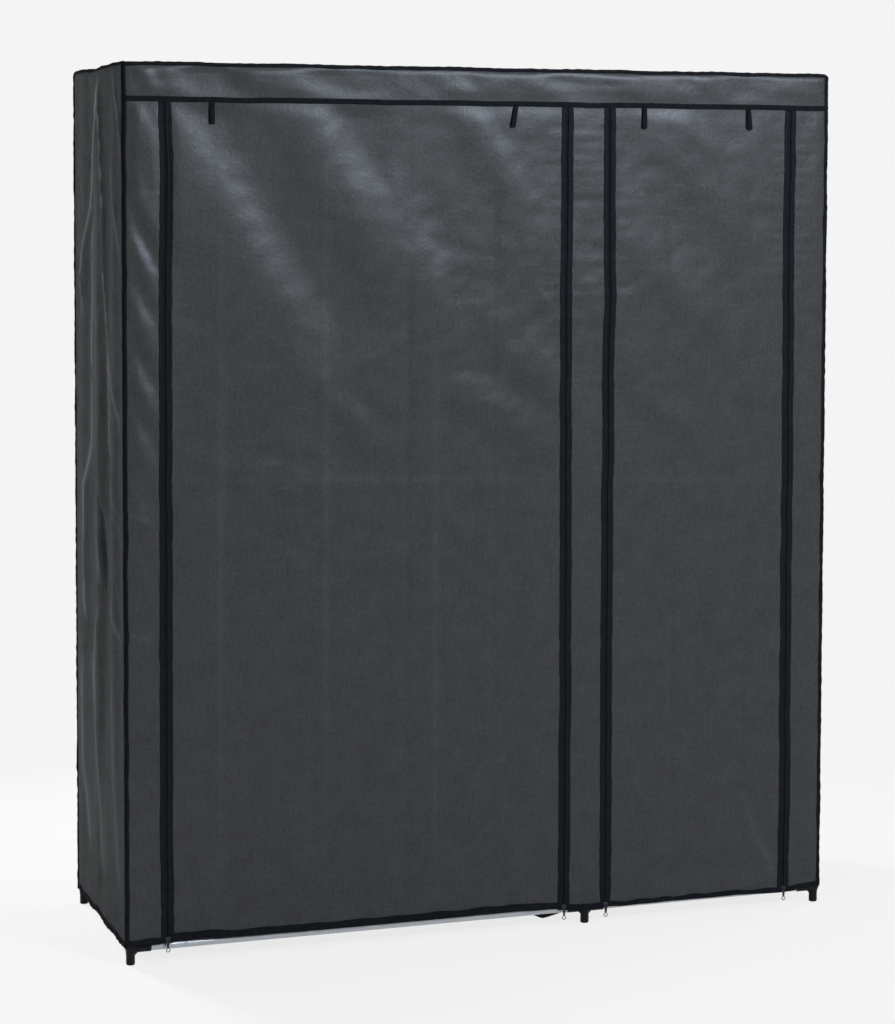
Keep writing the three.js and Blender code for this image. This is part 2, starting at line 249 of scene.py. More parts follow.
def stretched(material, vector, scale):
    return add_node(material, "ShaderNodeMapping", {"Vector": vector, "Scale": scale}).outputs["Vector"]


def noise(material, vector, scale, detail=3.0, roughness=0.55):
    """Random clouds of 0 to 1, with so many of them to a metre."""
    node = add_node(
        material, "ShaderNodeTexNoise",
        {"Vector": vector, "Scale": scale, "Detail": detail, "Roughness": roughness},
    )
    return node.outputs["Fac"]


def ranged(material, value, low, high, out_low, out_high):
    node = add_node(
        material, "ShaderNodeMapRange",
        {"Value": value, "From Min": low, "From Max": high, "To Min": out_low, "To Max": out_high},
    )
    return node.outputs["Result"]


def calculated(material, operation, first, second=0.0, third=0.0):
    node = add_node(material, "ShaderNodeMath", operation=operation)
    for index, value in enumerate((first, second, third)):
        if isinstance(value, bpy.types.NodeSocket):
            material.node_tree.links.new(value, node.inputs[index])
        else:
            node.inputs[index].default_value = value
    return node.outputs["Value"]


def blended(material, factor, first, second):
    node = add_node(
        material, "ShaderNodeMix", {"Factor": factor, "A": first, "B": second}, data_type="RGBA",
    )
    return node.outputs["Result"]


def bumped(material, height, distance, strength, below=None):
    """A bumped normal, so many metres deep where the height is 1, on top of the bump below."""
    inputs = {"Height": height, "Distance": distance, "Strength": strength}
    if below is not None:
        inputs["Normal"] = below
    return add_node(material, "ShaderNodeBump", inputs).outputs["Normal"]


def plug(material, node, **sockets):
    """Links outputs into the node's sockets."""
    for socket, value in sockets.items():
        material.node_tree.links.new(value, node.inputs[socket.replace("_", " ")])


def shade(colour, factor):
    return (colour[0] * factor, colour[1] * factor, colour[2] * factor, 1.0)


# Finishes
COOL_SHEEN = (0.90, 0.94, 1.0, 1.0)
WEAR_HIGHLIGHT_SHADE = 3.2  # how much paler a crease is: a painted highlight on its crest, which also stands for wear


def cloth_finish(name, colour, gloss):
    """Non-woven cloth: clouded fibres, upright grain, bonding dots, fine crinkles and creases paler along
    their crests, a painted highlight that also stands for wear.
    """
    material, surface = shader(
        name, 0.36, IOR=1.46, Specular_IOR_Level=gloss, Specular_Tint=COOL_SHEEN,
    )
    place = cloth_coordinates(material)
    clouds = noise(material, place, 150.0, 4.0, 0.62)
    patches = noise(material, place, 22.0, 2.0, 0.5)
    grain = noise(material, stretched(material, place, (1.0, 0.07, 1.0)), 330.0, 3.0, 0.6)
    fibres = noise(material, place, 1100.0, 3.0, 0.65)
    mixed = calculated(material, "MULTIPLY_ADD", clouds, 0.5, calculated(material, "MULTIPLY", grain, 0.3))
    mixed = calculated(material, "MULTIPLY_ADD", patches, 0.22, mixed)
    tone = ranged(material, mixed, 0.385, 0.635, 0.0, 1.0)
    clean = blended(material, tone, shade(colour, 0.70), shade(colour, 1.30))
    # painted highlight: the colour grows paler along the crease crests that the geometry marks, which also
    # stands for worn creases
    wear_highlight = add_node(material, "ShaderNodeAttribute", attribute_name="cloth_wear").outputs["Fac"]
    plug(material, surface, Base_Color=blended(material, wear_highlight, clean, shade(colour, WEAR_HIGHLIGHT_SHADE)))
    plug(material, surface, Roughness=ranged(material, clouds, 0.3, 0.7, 0.32, 0.40))
    dots = add_node(
        material, "ShaderNodeTexVoronoi", {"Vector": place, "Scale": 640.0, "Randomness": 0.12},
    ).outputs["Distance"]
    dotted = bumped(material, ranged(material, dots, 0.1, 0.45, 0.0, 1.0), 0.00012, 0.35)
    woolly = bumped(material, fibres, 0.0003, 0.30, dotted)
    cloudy = bumped(material, mixed, 0.0009, 0.32, woolly)
    crinkles = noise(material, place, 48.0, 4.0, 0.62)
    crinkles = calculated(material, "ABSOLUTE", calculated(material, "SUBTRACT", crinkles, 0.5))
    plug(material, surface, Normal=bumped(material, crinkles, 0.0014, 0.5, cloudy))
    return material


TAPE_SHEEN = (0.80, 0.88, 1.0, 1.0)
STITCH_LENGTH = 0.0032
STITCH_HALF = 0.00035


def tape_finish(name, colour, rib, stitch_lines, gloss):
    """Woven tape: ribs across it and rows of stitches at the given distances from its middle."""
    material, surface = shader(name, 0.5, Specular_IOR_Level=gloss, Specular_Tint=TAPE_SHEEN)
    place = cloth_coordinates(material)
    across, along, _ = add_node(material, "ShaderNodeSeparateXYZ", {"Vector": place}).outputs
    ribs = calculated(material, "SINE", calculated(material, "MULTIPLY", along, FULL_TURN / rib))
    lint = noise(material, place, 700.0, 3.0, 0.6)
    wear_and_highlight = noise(material, place, 60.0, 2.0, 0.5)
    beat = calculated(material, "SINE", calculated(material, "MULTIPLY", along, FULL_TURN / STITCH_LENGTH))
    dash = calculated(material, "GREATER_THAN", beat, -0.35)
    rows = 0.0
    for line in stitch_lines:
        off = calculated(material, "ABSOLUTE", calculated(material, "SUBTRACT", across, line))
        rows = calculated(material, "ADD", calculated(material, "LESS_THAN", off, STITCH_HALF), rows)
    stitches = calculated(material, "MULTIPLY", dash, rows)
    tone = ranged(material, wear_and_highlight, 0.3, 0.7, 0.75, 1.3)
    tone = calculated(material, "MULTIPLY_ADD", lint, 0.35, tone)
    tone = calculated(material, "MULTIPLY_ADD", stitches, 0.8, tone)
    tone = calculated(material, "MULTIPLY", tone, 0.5)
    plug(material, surface, Base_Color=blended(material, tone, shade(colour, 0.35), shade(colour, 1.9)))
    woven = bumped(material, ribs, 0.00012, 0.30)
    fluffy = bumped(material, lint, 0.0002, 0.25, woven)
    plug(material, surface, Normal=bumped(material, stitches, 0.0003, 0.5, fluffy))
    return material


def steel_finish(name, colour):
    """Silver paint on steel: a fine flake, a faint orange peel and light scuffs."""
    material, surface = shader(
        name, 0.34, Metallic=0.55, Coat_Weight=0.25, Coat_Roughness=0.2, Specular_IOR_Level=0.5,
    )
    place = object_coordinates(material)
    flake = noise(material, place, 1600.0, 2.0, 0.6)
    scuffs = noise(material, place, 35.0, 5.0, 0.7)
    tone = calculated(material, "MULTIPLY_ADD", flake, 0.35, calculated(material, "MULTIPLY", scuffs, 0.65))
    plug(material, surface, Base_Color=blended(material, tone, shade(colour, 0.82), shade(colour, 1.14)))
    plug(material, surface, Roughness=ranged(material, scuffs, 0.35, 0.75, 0.26, 0.46))
    plug(material, surface, Normal=bumped(material, noise(material, place, 260.0, 2.0), 0.0002, 0.15))
    return material


def plastic_finish(name, colour):
    """Black moulded plastic with a fine spark texture and dull rubbed patches."""
    material, surface = shader(name, 0.42, Specular_IOR_Level=0.10)
    place = object_coordinates(material)
    spark = noise(material, place, 1300.0, 2.0, 0.5)
    rubbed = noise(material, place, 45.0, 4.0, 0.6)
    plug(material, surface, Base_Color=blended(material, rubbed, shade(colour, 0.75), shade(colour, 1.5)))
    plug(material, surface, Roughness=ranged(material, rubbed, 0.3, 0.7, 0.34, 0.54))
    plug(material, surface, Normal=bumped(material, spark, 0.00015, 0.3))
    return material


BARE_ZINC = (0.32, 0.33, 0.34, 1.0)
RING_DARK = (0.07, 0.07, 0.08, 1)
RING_LIGHT = (0.22, 0.22, 0.24, 1)


def slider_finish(name, colour):
    """Black lacquer on zinc, worn to bare metal in small spots."""
    material, surface = shader(name, 0.3, Metallic=0.7, Coat_Weight=0.4, Coat_Roughness=0.15)
    place = object_coordinates(material)
    chips = ranged(material, noise(material, place, 420.0, 4.0, 0.7), 0.66, 0.72, 0.0, 1.0)
    smears = noise(material, place, 120.0, 3.0)
    plug(material, surface, Base_Color=blended(material, chips, shade(colour, 1.0), BARE_ZINC))
    plug(material, surface, Roughness=ranged(material, smears, 0.3, 0.7, 0.22, 0.42))
    plug(material, surface, Normal=bumped(material, smears, 0.0001, 0.2))
    return material


def ring_finish(name):
    """Plated wire with fine scratches."""
    material, surface = shader(name, 0.25, Metallic=1.0)
    place = object_coordinates(material)
    scratches = noise(material, stretched(material, place, (1.0, 1.0, 6.0)), 900.0, 3.0, 0.7)
    plug(material, surface, Base_Color=blended(material, scratches, RING_DARK, RING_LIGHT))
    plug(material, surface, Roughness=ranged(material, scratches, 0.3, 0.7, 0.2, 0.4))
    return material


FINISHES = {}
STITCH_INSET = 0.0016
ZIP_STITCHES = (0.0052, 0.0108)  # from the zip's centre line


def finish_named(name):
    """Makes each finish once, when a piece first asks for it."""
    if name in FINISHES:
        return FINISHES[name]
    scene = bpy.context.scene
    cloth, trim, metal = scene.wardrobe_cloth, scene.wardrobe_trim, scene.wardrobe_frame
    edge = trim.binding_width / 2 - STITCH_INSET
    seams = (-edge, edge)
    makers = {
        "cover_cloth": lambda: cloth_finish("cover_cloth", cloth.cover_colour, 0.0),
        "door_cloth": lambda: cloth_finish("door_cloth", cloth.door_colour, 0.29),
        "shelf_cloth": lambda: cloth_finish("shelf_cloth", cloth.shelf_colour, 0.02),
        "binding_tape": lambda: tape_finish("binding_tape", trim.binding_colour, 0.0011, seams, 0.0),
        "zip_tape": lambda: tape_finish("zip_tape", trim.tape_colour, 0.0013, ZIP_STITCHES, 0.04),
        "painted_steel": lambda: steel_finish("painted_steel", metal.tube_colour),
        "moulded_plastic": lambda: plastic_finish("moulded_plastic", metal.plastic_colour),
        "black_lacquer": lambda: slider_finish("black_lacquer", metal.metal_colour),
        "plated_ring": lambda: ring_finish("plated_ring"),
    }
    FINISHES[name] = makers[name]()
    return FINISHES[name]


# Relief of the cloth, in metres out of its plane
def beside(u, v, start, end):
    """How far each point lies above a line, and how strong a fold along that line is there."""
    du, dv = end[0] - start[0], end[1] - start[1]
    length = math.hypot(du, dv)
    along = ((u - start[0]) * du + (v - start[1]) * dv) / length**2
    above = ((v - start[1]) * du - (u - start[0]) * dv) / length
    return above, np.sin(math.pi * np.clip(along, 0, 1)) ** 0.6


def ridge(u, v, start, end, width, height, sharpness, valleys=0.0, wider=1.0):
    """A fold along a line, soft at sharpness 2 and creased at 1, that fades out at both ends.

    It may have valleys beside it, and below the line it is wider by the given factor.
    """
    above, strength = beside(u, v, start, end)
    off = np.abs(above) / np.where(above > 0, width, width * wider)
    return height * strength * (1 - valleys * off**2) * np.exp(-(off**sharpness))


def drape(u, v, start, end, reach, height):
    """A broad fold: the cloth rises slowly to the line, drops over the reach above it and settles again."""
    above, strength = beside(u, v, start, end)
    rise = eased(above, -reach * 1.5, 0.0)
    drop = eased(above, 0.0, reach)
    settle = eased(above, reach, reach * 2.8)
    return height * strength * (rise - 2 * drop + settle)


CREASE_FADE = 0.07


def crease(u, v, points, width):
    """1 on a crease that runs through points from the top down, falling to 0 beside it and at its ends."""
    across, up = np.array(points[::-1]).T
    off = np.abs(u - np.interp(v, up, across))
    fade = min(CREASE_FADE, (up[-1] - up[0]) * 0.4)
    return eased(v, up[0], up[0] + fade) * eased(up[-1] - v, 0.0, fade) * np.exp(-off / width)


def waves(u, v, seed, shortest, longest, lean=0.0, spread=math.pi, count=14):
    """Smooth random relief of about -1 to 1: sine waves that run across the lean, within the spread."""
    random = np.random.default_rng(seed)
    total = np.zeros_like(u)
    for _ in range(count):
        length = shortest * (longest / shortest) ** random.random()
        angle = lean + spread * (random.random() - HALF)
        phase = FULL_TURN * random.random()
        total += np.sin(FULL_TURN * (u * math.cos(angle) + v * math.sin(angle)) / length + phase)
    return total / math.sqrt(count)


def wavering(along, seed, shortest, longest):
    """Smooth random unevenness of about -1 to 1 in one direction."""
    return waves(along, np.zeros_like(along), seed, shortest, longest, spread=0.1)


def crumple(u, v, seed, size):
    """Small flat facets between sharp creases."""
    first = np.abs(waves(u, v, seed, size, size * 2.5))
    second = np.abs(waves(u, v, seed + 1, size * 0.6, size * 1.5))
    return 0.65 * first + 0.35 * second


def bell(value, middle, width):
    return np.exp(-(((value - middle) / width) ** 2))


def eased(value, start, end):
    share = np.clip((value - start) / (end - start), 0, 1)
    return share * share * (3 - 2 * share)


# Broad folds of the front: start and end in X and Z, reach and height
FRONT_DRAPES = (
    ((-0.735, 1.750), (-0.365, 1.110), 0.112, 0.0054),
    ((-0.475, 1.790), (-0.190, 1.290), 0.096, 0.0050),
)
# Soft folds of the front: start and end in X and Z, half width, height, and how much wider below
FRONT_FOLDS = (
    ((-0.230, 1.560), (-0.060, 1.180), 0.050, 0.0034, 1.3),
    ((-0.060, 1.300), (0.170, 1.080), 0.045, 0.0032, 1.0),
    ((-0.100, 1.130), (0.150, 0.960), 0.045, 0.0028, 1.0),
    ((-0.440, 1.200), (-0.200, 0.960), 0.040, 0.0026, 1.2),
    ((-0.080, 1.720), (0.080, 1.460), 0.032, 0.0036, 1.6),
    ((0.280, 1.120), (0.480, 0.980), 0.030, 0.0022, 1.0),
    ((0.290, 1.420), (0.520, 1.200), 0.042, 0.0024, 1.3),
    ((0.370, 1.680), (0.520, 1.560), 0.030, 0.0024, 1.0),
    ((0.560, 1.660), (0.640, 1.420), 0.030, 0.0020, 1.2),
    ((-0.620, 0.980), (-0.250, 0.900), 0.035, 0.0016, 1.0),
)
# Creases of the front: the folds it was packed in, and small ones beside them
FRONT_CREASES = (
    ((-0.556, 1.690), (-0.560, 0.100), 0.008, 0.0009),
    ((-0.346, 1.690), (-0.346, 0.060), 0.007, 0.0010),
    ((-0.172, 1.745), (-0.180, 0.050), 0.007, -0.0018),
    ((-0.120, 1.420), (-0.117, 0.060), 0.008, 0.0009),
    ((0.006, 1.690), (0.007, 0.040), 0.008, -0.0018),
    ((0.387, 1.690), (0.401, 0.035), 0.008, -0.0014),
    ((0.573, 1.690), (0.554, 0.030), 0.007, -0.0011),
    ((-0.665, 0.311), (0.160, 0.252), 0.008, -0.0007),
    ((0.265, 0.244), (0.655, 0.215), 0.008, -0.0007),
    ((-0.665, 0.946), (0.160, 0.919), 0.008, 0.0007),
    ((0.265, 0.915), (0.650, 0.903), 0.008, 0.0007),
    ((-0.480, 0.972), (-0.420, 0.968), 0.006, 0.0012),
    ((-0.445, 0.925), (-0.390, 0.915), 0.005, 0.0012),
    ((-0.285, 1.075), (-0.262, 1.040), 0.005, 0.0012),
    ((0.085, 1.330), (0.150, 1.250), 0.007, 0.0007),
    ((0.030, 1.250), (0.140, 1.150), 0.007, 0.0007),
    ((-0.747, 0.884), (-0.690, 0.862), 0.006, 0.0020),
    ((-0.747, 0.650), (-0.690, 0.635), 0.006, 0.0018),
    ((0.265, 1.440), (0.300, 1.437), 0.004, 0.0014),
    ((0.600, 0.150), (0.640, 0.060), 0.010, 0.0014),
    ((0.560, 0.260), (0.600, 0.130), 0.010, 0.0012),
)
HELD = 0.020  # how far from a seam the cloth is held flat
ZIP_HELD = 0.015  # how far from a zip the cloth is held flat
FOLD_LIMIT = 0.0060  # no fold reaches farther from the front's plane, to leave the folded doors room
BULGE = 0.0010  # how far the front stands off the frame between the seams


def front_relief(x, z):
    """The one surface that the header, the fixed panels, the doors and their zips share."""
    upper = 0.35 + 0.65 * eased(z, 0.75, 1.45)  # the cloth hangs smoother lower down
    h = BULGE + 0.0015 * upper * waves(x, z, 11, 0.14, 0.40, lean=0.6, spread=2.0)
    h = h + 0.00018 * upper * waves(x, z, 12, 0.045, 0.12)
    zone = 0.4 + 0.6 * bell(x, 0.12, 0.30) * bell(z, 1.15, 0.33)
    h = h + 0.0011 * zone * crumple(x, z, 21, 0.070)
    for start, end, reach, height in FRONT_DRAPES:
        h = h + drape(x, z, start, end, reach, height)
    for start, end, width, height, wider in FRONT_FOLDS:
        h = h + ridge(x, z, start, end, width, height, 2, valleys=1.0, wider=wider)
    for start, end, width, height in FRONT_CREASES:
        h = h + ridge(x, z, start, end, width, height, 1)
    for name in ZIP_NAMES:
        pucker = waves(x * 0.3, z, 31, 0.022, 0.060, lean=HALF * math.pi, spread=0.5)
        h = h + 0.0003 * upper * pucker * bell(x, ZIP_X[name], 0.045)
    slope = z + 1.6 * (x - POST_X["left"])
    margin = bell(x, (POST_X["left"] + ZIP_X["left_door_left"]) / 2 - 0.004, 0.034)
    ripples = 0.4 + waves(slope, z * 0.2, 41, 0.075, 0.13, spread=0.1)
    h = h + 0.0022 * margin * eased(z, 0.55, 1.30) * ripples
    header = bell(z, (SEAM_Z + COVER_HIGH.z) / 2, 0.026)
    h = h + 0.0009 * header * waves(x, z, 51, 0.07, 0.26, lean=0.5, spread=1.8)
    h = FOLD_LIMIT * np.tanh(h / FOLD_LIMIT)
    for name in ZIP_NAMES:
        h = h + (BULGE - h) * bell(x, ZIP_X[name], ZIP_HELD) * (z < SEAM_Z)
    for _, _, loop_x, _, _ in TIE_LOOPS:
        h = h + (BULGE - h) * 0.9 * bell(x, loop_x, 0.024) * bell(z, LOOP_MEETS, 0.034)
    at_seam = 1 - bell(z, SEAM_Z, HELD)
    at_top = eased(COVER_HIGH.z - z, 0.004, 0.018)
    at_corner = eased(np.minimum(x - SIDE_X["left"], SIDE_X["right"] - x), 0.010, 0.030)
    return h * at_seam * at_top * at_corner * bpy.context.scene.wardrobe_cloth.relief


FRONT_WEAR_HIGHLIGHT_HEIGHT = 0.006  # height of a crease of the front that is wholly pale: painted highlight, which also stands for wear


def front_wear_highlight(x, z):
    """Painted highlight of the front, which also stands for wear: paler along its raised creases."""
    wear_highlight = np.zeros_like(x)
    for start, end, width, height in FRONT_CREASES:
        if height > 0:
            wear_highlight = wear_highlight + ridge(x, z, start, end, width * HALF, height / FRONT_WEAR_HIGHLIGHT_HEIGHT, 1)
    return np.clip(wear_highlight, 0, 1)


# Folds of the side and back walls, as deep and as many as the solids have
SIDE_FOLD = {"depth": 0.010, "count": 3, "lean": 0.35}
BACK_FOLD = {"depth": 0.005, "count": 6, "lean": 0.5}
BACK_CREASES = (-0.42, -0.10, 0.25, 0.56)
FOLD_MARGIN = 0.026
SLACK_POWER = 0.6


def slack(share, size):
    """How free the cloth is: 0 at its held edges and 1 in the middle."""
    inner = (share * size - FOLD_MARGIN) / (size - FOLD_MARGIN * 2)
    return np.sin(math.pi * np.clip(inner, 0, 1)) ** SLACK_POWER


def hanging_fold(across_share, up_share, width, height, fold):
    turns = fold["count"] * across_share + fold["lean"] * up_share
    wave = (1 + np.sin(FULL_TURN * turns)) / 2
    return fold["depth"] * slack(across_share, width) * slack(up_share, height) * wave


# Long creases of a side wall: points from the top down in Y and Z, width and height
SIDE_CREASES = (
    (((-0.010, 1.745), (-0.017, 1.679), (0.040, 1.550), (0.074, 1.473), (0.133, 1.394), (0.158, 1.331),
      (0.142, 1.238)), 0.012, 0.0070),
    (((-0.025, 1.745), (-0.042, 1.579), (-0.053, 1.459), (-0.054, 1.338), (-0.063, 1.287), (-0.083, 1.187),
      (-0.105, 1.065), (-0.121, 0.950)), 0.011, 0.0070),
    (((-0.151, 1.745), (-0.173, 1.701), (-0.215, 1.640), (-0.228, 1.560)), 0.009, 0.0050),
    (((-0.118, 1.580), (-0.160, 1.474), (-0.196, 1.416), (-0.225, 1.340)), 0.010, 0.0035),
    (((0.059, 1.460), (0.064, 1.282), (0.074, 1.221), (0.080, 0.991), (0.144, 0.901), (0.146, 0.742),
      (0.144, 0.600)), 0.015, 0.0068),
    (((-0.076, 1.200), (-0.107, 1.149), (-0.202, 1.057), (-0.228, 1.010)), 0.012, 0.0040),
    (((0.066, 0.975), (0.041, 0.933), (-0.018, 0.853), (-0.045, 0.690)), 0.010, -0.0045),
    (((0.030, 0.860), (0.000, 0.780), (-0.015, 0.690)), 0.014, 0.0045),
    (((-0.088, 0.945), (-0.110, 0.903), (-0.216, 0.858)), 0.012, 0.0032),
    (((-0.070, 0.712), (-0.136, 0.661), (-0.224, 0.610)), 0.014, 0.0036),
    (((-0.018, 0.700), (0.056, 0.564), (0.028, 0.450)), 0.014, 0.0036),
    (((0.173, 0.560), (0.168, 0.321), (0.088, 0.130)), 0.020, 0.0036),
    (((0.098, 0.580), (0.030, 0.411), (0.002, 0.294), (-0.024, 0.110)), 0.020, 0.0034),
    (((-0.120, 0.560), (-0.150, 0.320), (-0.190, 0.110)), 0.022, 0.0022),
)
SIDE_WEAR_HIGHLIGHT_HEIGHT = 0.007  # height of a crease of a side wall that is wholly pale: painted highlight, which also stands for wear
SIDE_SEED = {"left": 101, "right": 111}
SIDE_TURN = {"left": 1, "right": -1}  # the right wall has the creases the other way round
# how strong the painted highlight along the creases is on each wall
SIDE_WEAR_HIGHLIGHT = {"left": 0.9, "right": 0.5}
SIDE_PATTERN = {"left": 2.0, "right": 4.0}  # sets the clouds of one wall apart from the other's


def side_wear_highlight(y, z, side):
    """Painted highlight of a side wall, which also stands for wear: paler along its creases."""
    wear_highlight = np.zeros_like(y)
    for points, width, height in SIDE_CREASES:
        wear_highlight = wear_highlight + height / SIDE_WEAR_HIGHLIGHT_HEIGHT * crease(y * SIDE_TURN[side], z, points, width * 0.8)
    return np.clip(wear_highlight, 0, 1) * SIDE_WEAR_HIGHLIGHT[side]


def side_relief(y, z, side):
    seed = SIDE_SEED[side]
    height = COVER_HIGH.z - SIDE_HEM
    share = (y - FRONT_Y) / COVER_DEPTH
    up = (z - SIDE_HEM) / height
    h = -hanging_fold(share, up, COVER_DEPTH, height, SIDE_FOLD)
    for points, width, crest in SIDE_CREASES:
        h = h + crest * crease(y * SIDE_TURN[side], z, points, width)
    free = slack(share, COVER_DEPTH)
    h = h + free * 0.0008 * waves(y, z * 0.25, seed, 0.06, 0.18, spread=0.6)
    h = h + free * 0.0005 * crumple(y, z * 0.5, seed + 3, 0.06)
    return h


def back_relief(x, z):
    height = COVER_HIGH.z - BACK_HEM
    share = (x - COVER_LOW.x) / COVER_WIDTH
    up = (z - BACK_HEM) / height
    h = hanging_fold(share, up, COVER_WIDTH, height, BACK_FOLD)
    free = slack(share, COVER_WIDTH) * slack(up, height)
    h = h + free * 0.0022 * waves(x, z * 0.5, 61, 0.08, 0.30, spread=1.0)
    h = h + free * 0.0016 * crumple(x, z, 63, 0.11)
    for x_crease in BACK_CREASES:
        h = h + ridge(x, z, (x_crease, 1.74), (x_crease + 0.01, 0.05), 0.010, 0.0014, 1)
    return h


TOP_SAG = 0.006
CONNECTOR_REACH = 0.040


def top_relief(x, y):
    """The top sags in front of the clothes rail and behind it."""
    lobe = (POST_Y["back"] - POST_Y["front"]) / 2 - CONNECTOR_REACH
    is_left = x < POST_X["middle"]
    start = np.where(is_left, POST_X["left"], POST_X["middle"])
    width = np.where(is_left, POST_X["middle"] - POST_X["left"], POST_X["right"] - POST_X["middle"])
    across = np.sin(math.pi * np.clip((x - start) / width, 0, 1))
    deep = np.sin(math.pi * np.clip(np.abs(y - RAIL_Y) / lobe, 0, 1))
    free = across * deep
    h = -TOP_SAG * free - free * 0.0010 * crumple(x, y, 71, 0.08)
    return h + free * 0.0009 * waves(x, y, 73, 0.05, 0.16)


# Round edges of the cover
def on_cover(places, stand_off=0.0):
    """Moves points of a sharp-edged box onto the cover, whose edges are round about posts and bars."""
    low = np.array([POST_X["left"], POST_Y["front"], -1.0])
    high = np.array([POST_X["right"], POST_Y["back"], BAR_Z["top"]])
    held = np.clip(places, low, high)
    out = places - held
    out = out / np.linalg.norm(out, axis=1)[:, None]
    return edge_dip(held + out * (CORNER_RADIUS + np.asarray(stand_off)).reshape(-1, 1))


DIPS = (  # where the cover's upper left edge hangs down, in Y: middle, width and depth
    (0.050, 0.060, 0.0075),
    (-0.085, 0.040, 0.0016),
)
DIP_REACH = 0.013
RIPPLE_REACH = 0.018
RIPPLE = 0.0011


def edge_dip(points):
    """Lets the upper edges on the left and in front hang down in places."""
    x, y, z = points.T
    near = np.exp(-(np.abs(x - SIDE_X["left"]) + np.abs(COVER_HIGH.z - z)) / DIP_REACH)
    drop = sum(depth * bell(y, middle, width) for middle, width, depth in DIPS)
    front = np.exp(-(np.abs(y - FRONT_Y) + np.abs(COVER_HIGH.z - z)) / RIPPLE_REACH)
    ripple = RIPPLE * (1 + wavering(x, 81, 0.12, 0.34))
    moved = points.copy()
    moved[:, 2] -= near * drop + front * np.clip(ripple, 0, None)
    return moved


def on_front(x, z, stand_off=0.0):
    """Points of the front from X and Z, so far off its cloth."""
    flat = np.column_stack([x, np.full_like(x, FRONT_Y), z])
    return on_cover(flat, front_relief(x, z) + stand_off)


def on_side(side, y, z, stand_off=0.0):
    flat = np.column_stack([np.full_like(y, SIDE_X[side]), y, z])
    return on_cover(flat, side_relief(y, z, side) + stand_off)


def on_back(x, z, stand_off=0.0):
    flat = np.column_stack([x, np.full_like(x, BACK_Y), z])
    return on_cover(flat, back_relief(x, z) + stand_off)


def on_top(x, y):
    flat = np.column_stack([x, y, np.full_like(x, COVER_HIGH.z)])
    return on_cover(flat, top_relief(x, y))


# Meshes
def piece_from(bm, name, finishes, sharp=35.0):
    """A finished piece at the origin, smooth between its sharp edges."""
    mesh = bpy.data.meshes.new(name)
    bm.to_mesh(mesh)
    bm.free()
    for finish in finishes:
        mesh.materials.append(finish_named(finish))
    mesh.shade_smooth()
    mesh.set_sharp_from_angle(angle=math.radians(sharp))
    piece = bpy.data.objects.new(name, mesh)
    bpy.context.scene.collection.objects.link(piece)
    return piece


def fix(piece, *nodes):
    """The piece stands for the nodes and rides on the wardrobe itself."""
    for node in nodes:
        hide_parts(node)
    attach(piece, BODY)


MIDDLE = Vector((0.0, (FRONT_Y + BACK_Y) / 2, COVER_HIGH.z / 2))


def sheet(name, across, along, grid, place, thickness, finish, seed=0.0, outwards_from=MIDDLE, wear_and_highlight=None):
    """Cloth or tape: a grid over across and along, laid out by place, with its thickness behind it."""
    width, length = across[1] - across[0], along[1] - along[0]
    faces_across = max(1, round(width / grid[0]))
    faces_along = max(1, round(length / grid[1]))
    bm = bmesh.new()
    layer = bm.verts.layers.float_vector.new("cloth_place")
    # this layer carries the painted highlight along the creases, which also stands for wear
    wear_highlight_layer = bm.verts.layers.float.new("cloth_wear")
    bmesh.ops.create_grid(bm, x_segments=faces_across, y_segments=faces_along, size=HALF)
    flat = np.array([vert.co for vert in bm.verts])
    u = across[0] + (flat[:, 0] + HALF) * width
    v = along[0] + (flat[:, 1] + HALF) * length
    wear_highlight = wear_and_highlight(u, v) if wear_and_highlight else np.zeros_like(u)
    for vert, point, cloth_u, cloth_v, share in zip(bm.verts, place(u, v), u, v, wear_highlight):
        vert.co = point
        vert[layer] = (cloth_u, cloth_v, seed)
        vert[wear_highlight_layer] = share
    bm.normal_update()
    facing = sum(face.normal.dot(face.calc_center_median() - outwards_from) for face in bm.faces)
    if facing < 0:
        bmesh.ops.reverse_faces(bm, faces=bm.faces[:])
    bmesh.ops.solidify(bm, geom=bm.faces[:], thickness=thickness)
    return piece_from(bm, name, [finish])


def added_since(bm, before):
    return [vert for vert in bm.verts if vert not in before]


def turned(bm, profile, direction, start, steps, closed=False):
    """A profile of radius and height points, spun round the line through start."""
    before = set(bm.verts)
    verts = [bm.verts.new((radius, 0.0, height)) for radius, height in profile]
    pairs = list(zip(verts, verts[1:]))
    if closed:
        pairs.append((verts[-1], verts[0]))
    edges = [bm.edges.new(pair) for pair in pairs]
    bmesh.ops.spin(
        bm, geom=verts + edges, axis=(0, 0, 1), cent=(0, 0, 0), angle=FULL_TURN, steps=steps,
        use_merge=True,
    )
    bmesh.ops.remove_doubles(bm, verts=added_since(bm, before), dist=1e-6)
    fresh = added_since(bm, before)
    faces = list({face for vert in fresh for face in vert.link_faces})
    bmesh.ops.recalc_face_normals(bm, faces=faces)
    turn = Vector(direction).to_track_quat("Z", "Y").to_matrix().to_4x4()
    bmesh.ops.transform(bm, matrix=Matrix.Translation(start) @ turn, verts=fresh)
    return fresh


def pin_profile(radius, length):
    return [(0.0, 0.0), (radius, 0.0), (radius, length), (0.0, length)]


def tube_profile(length, radius, wall=0.0008, lip=0.0004):
    """A tube with slightly rounded ends."""
    bore = radius - wall
    return [
        (bore, 0.0), (radius - lip, 0.0), (radius, lip),
        (radius, length - lip), (radius - lip, length), (bore, length),
    ]


# Frame pieces
SOCKET_FLOOR = 0.0123
RIGHT, LEFT = Vector((1, 0, 0)), Vector((-1, 0, 0))
BACKWARD, FORWARD = Vector((0, 1, 0)), Vector((0, -1, 0))
UP, DOWN = Vector((0, 0, 1)), Vector((0, 0, -1))


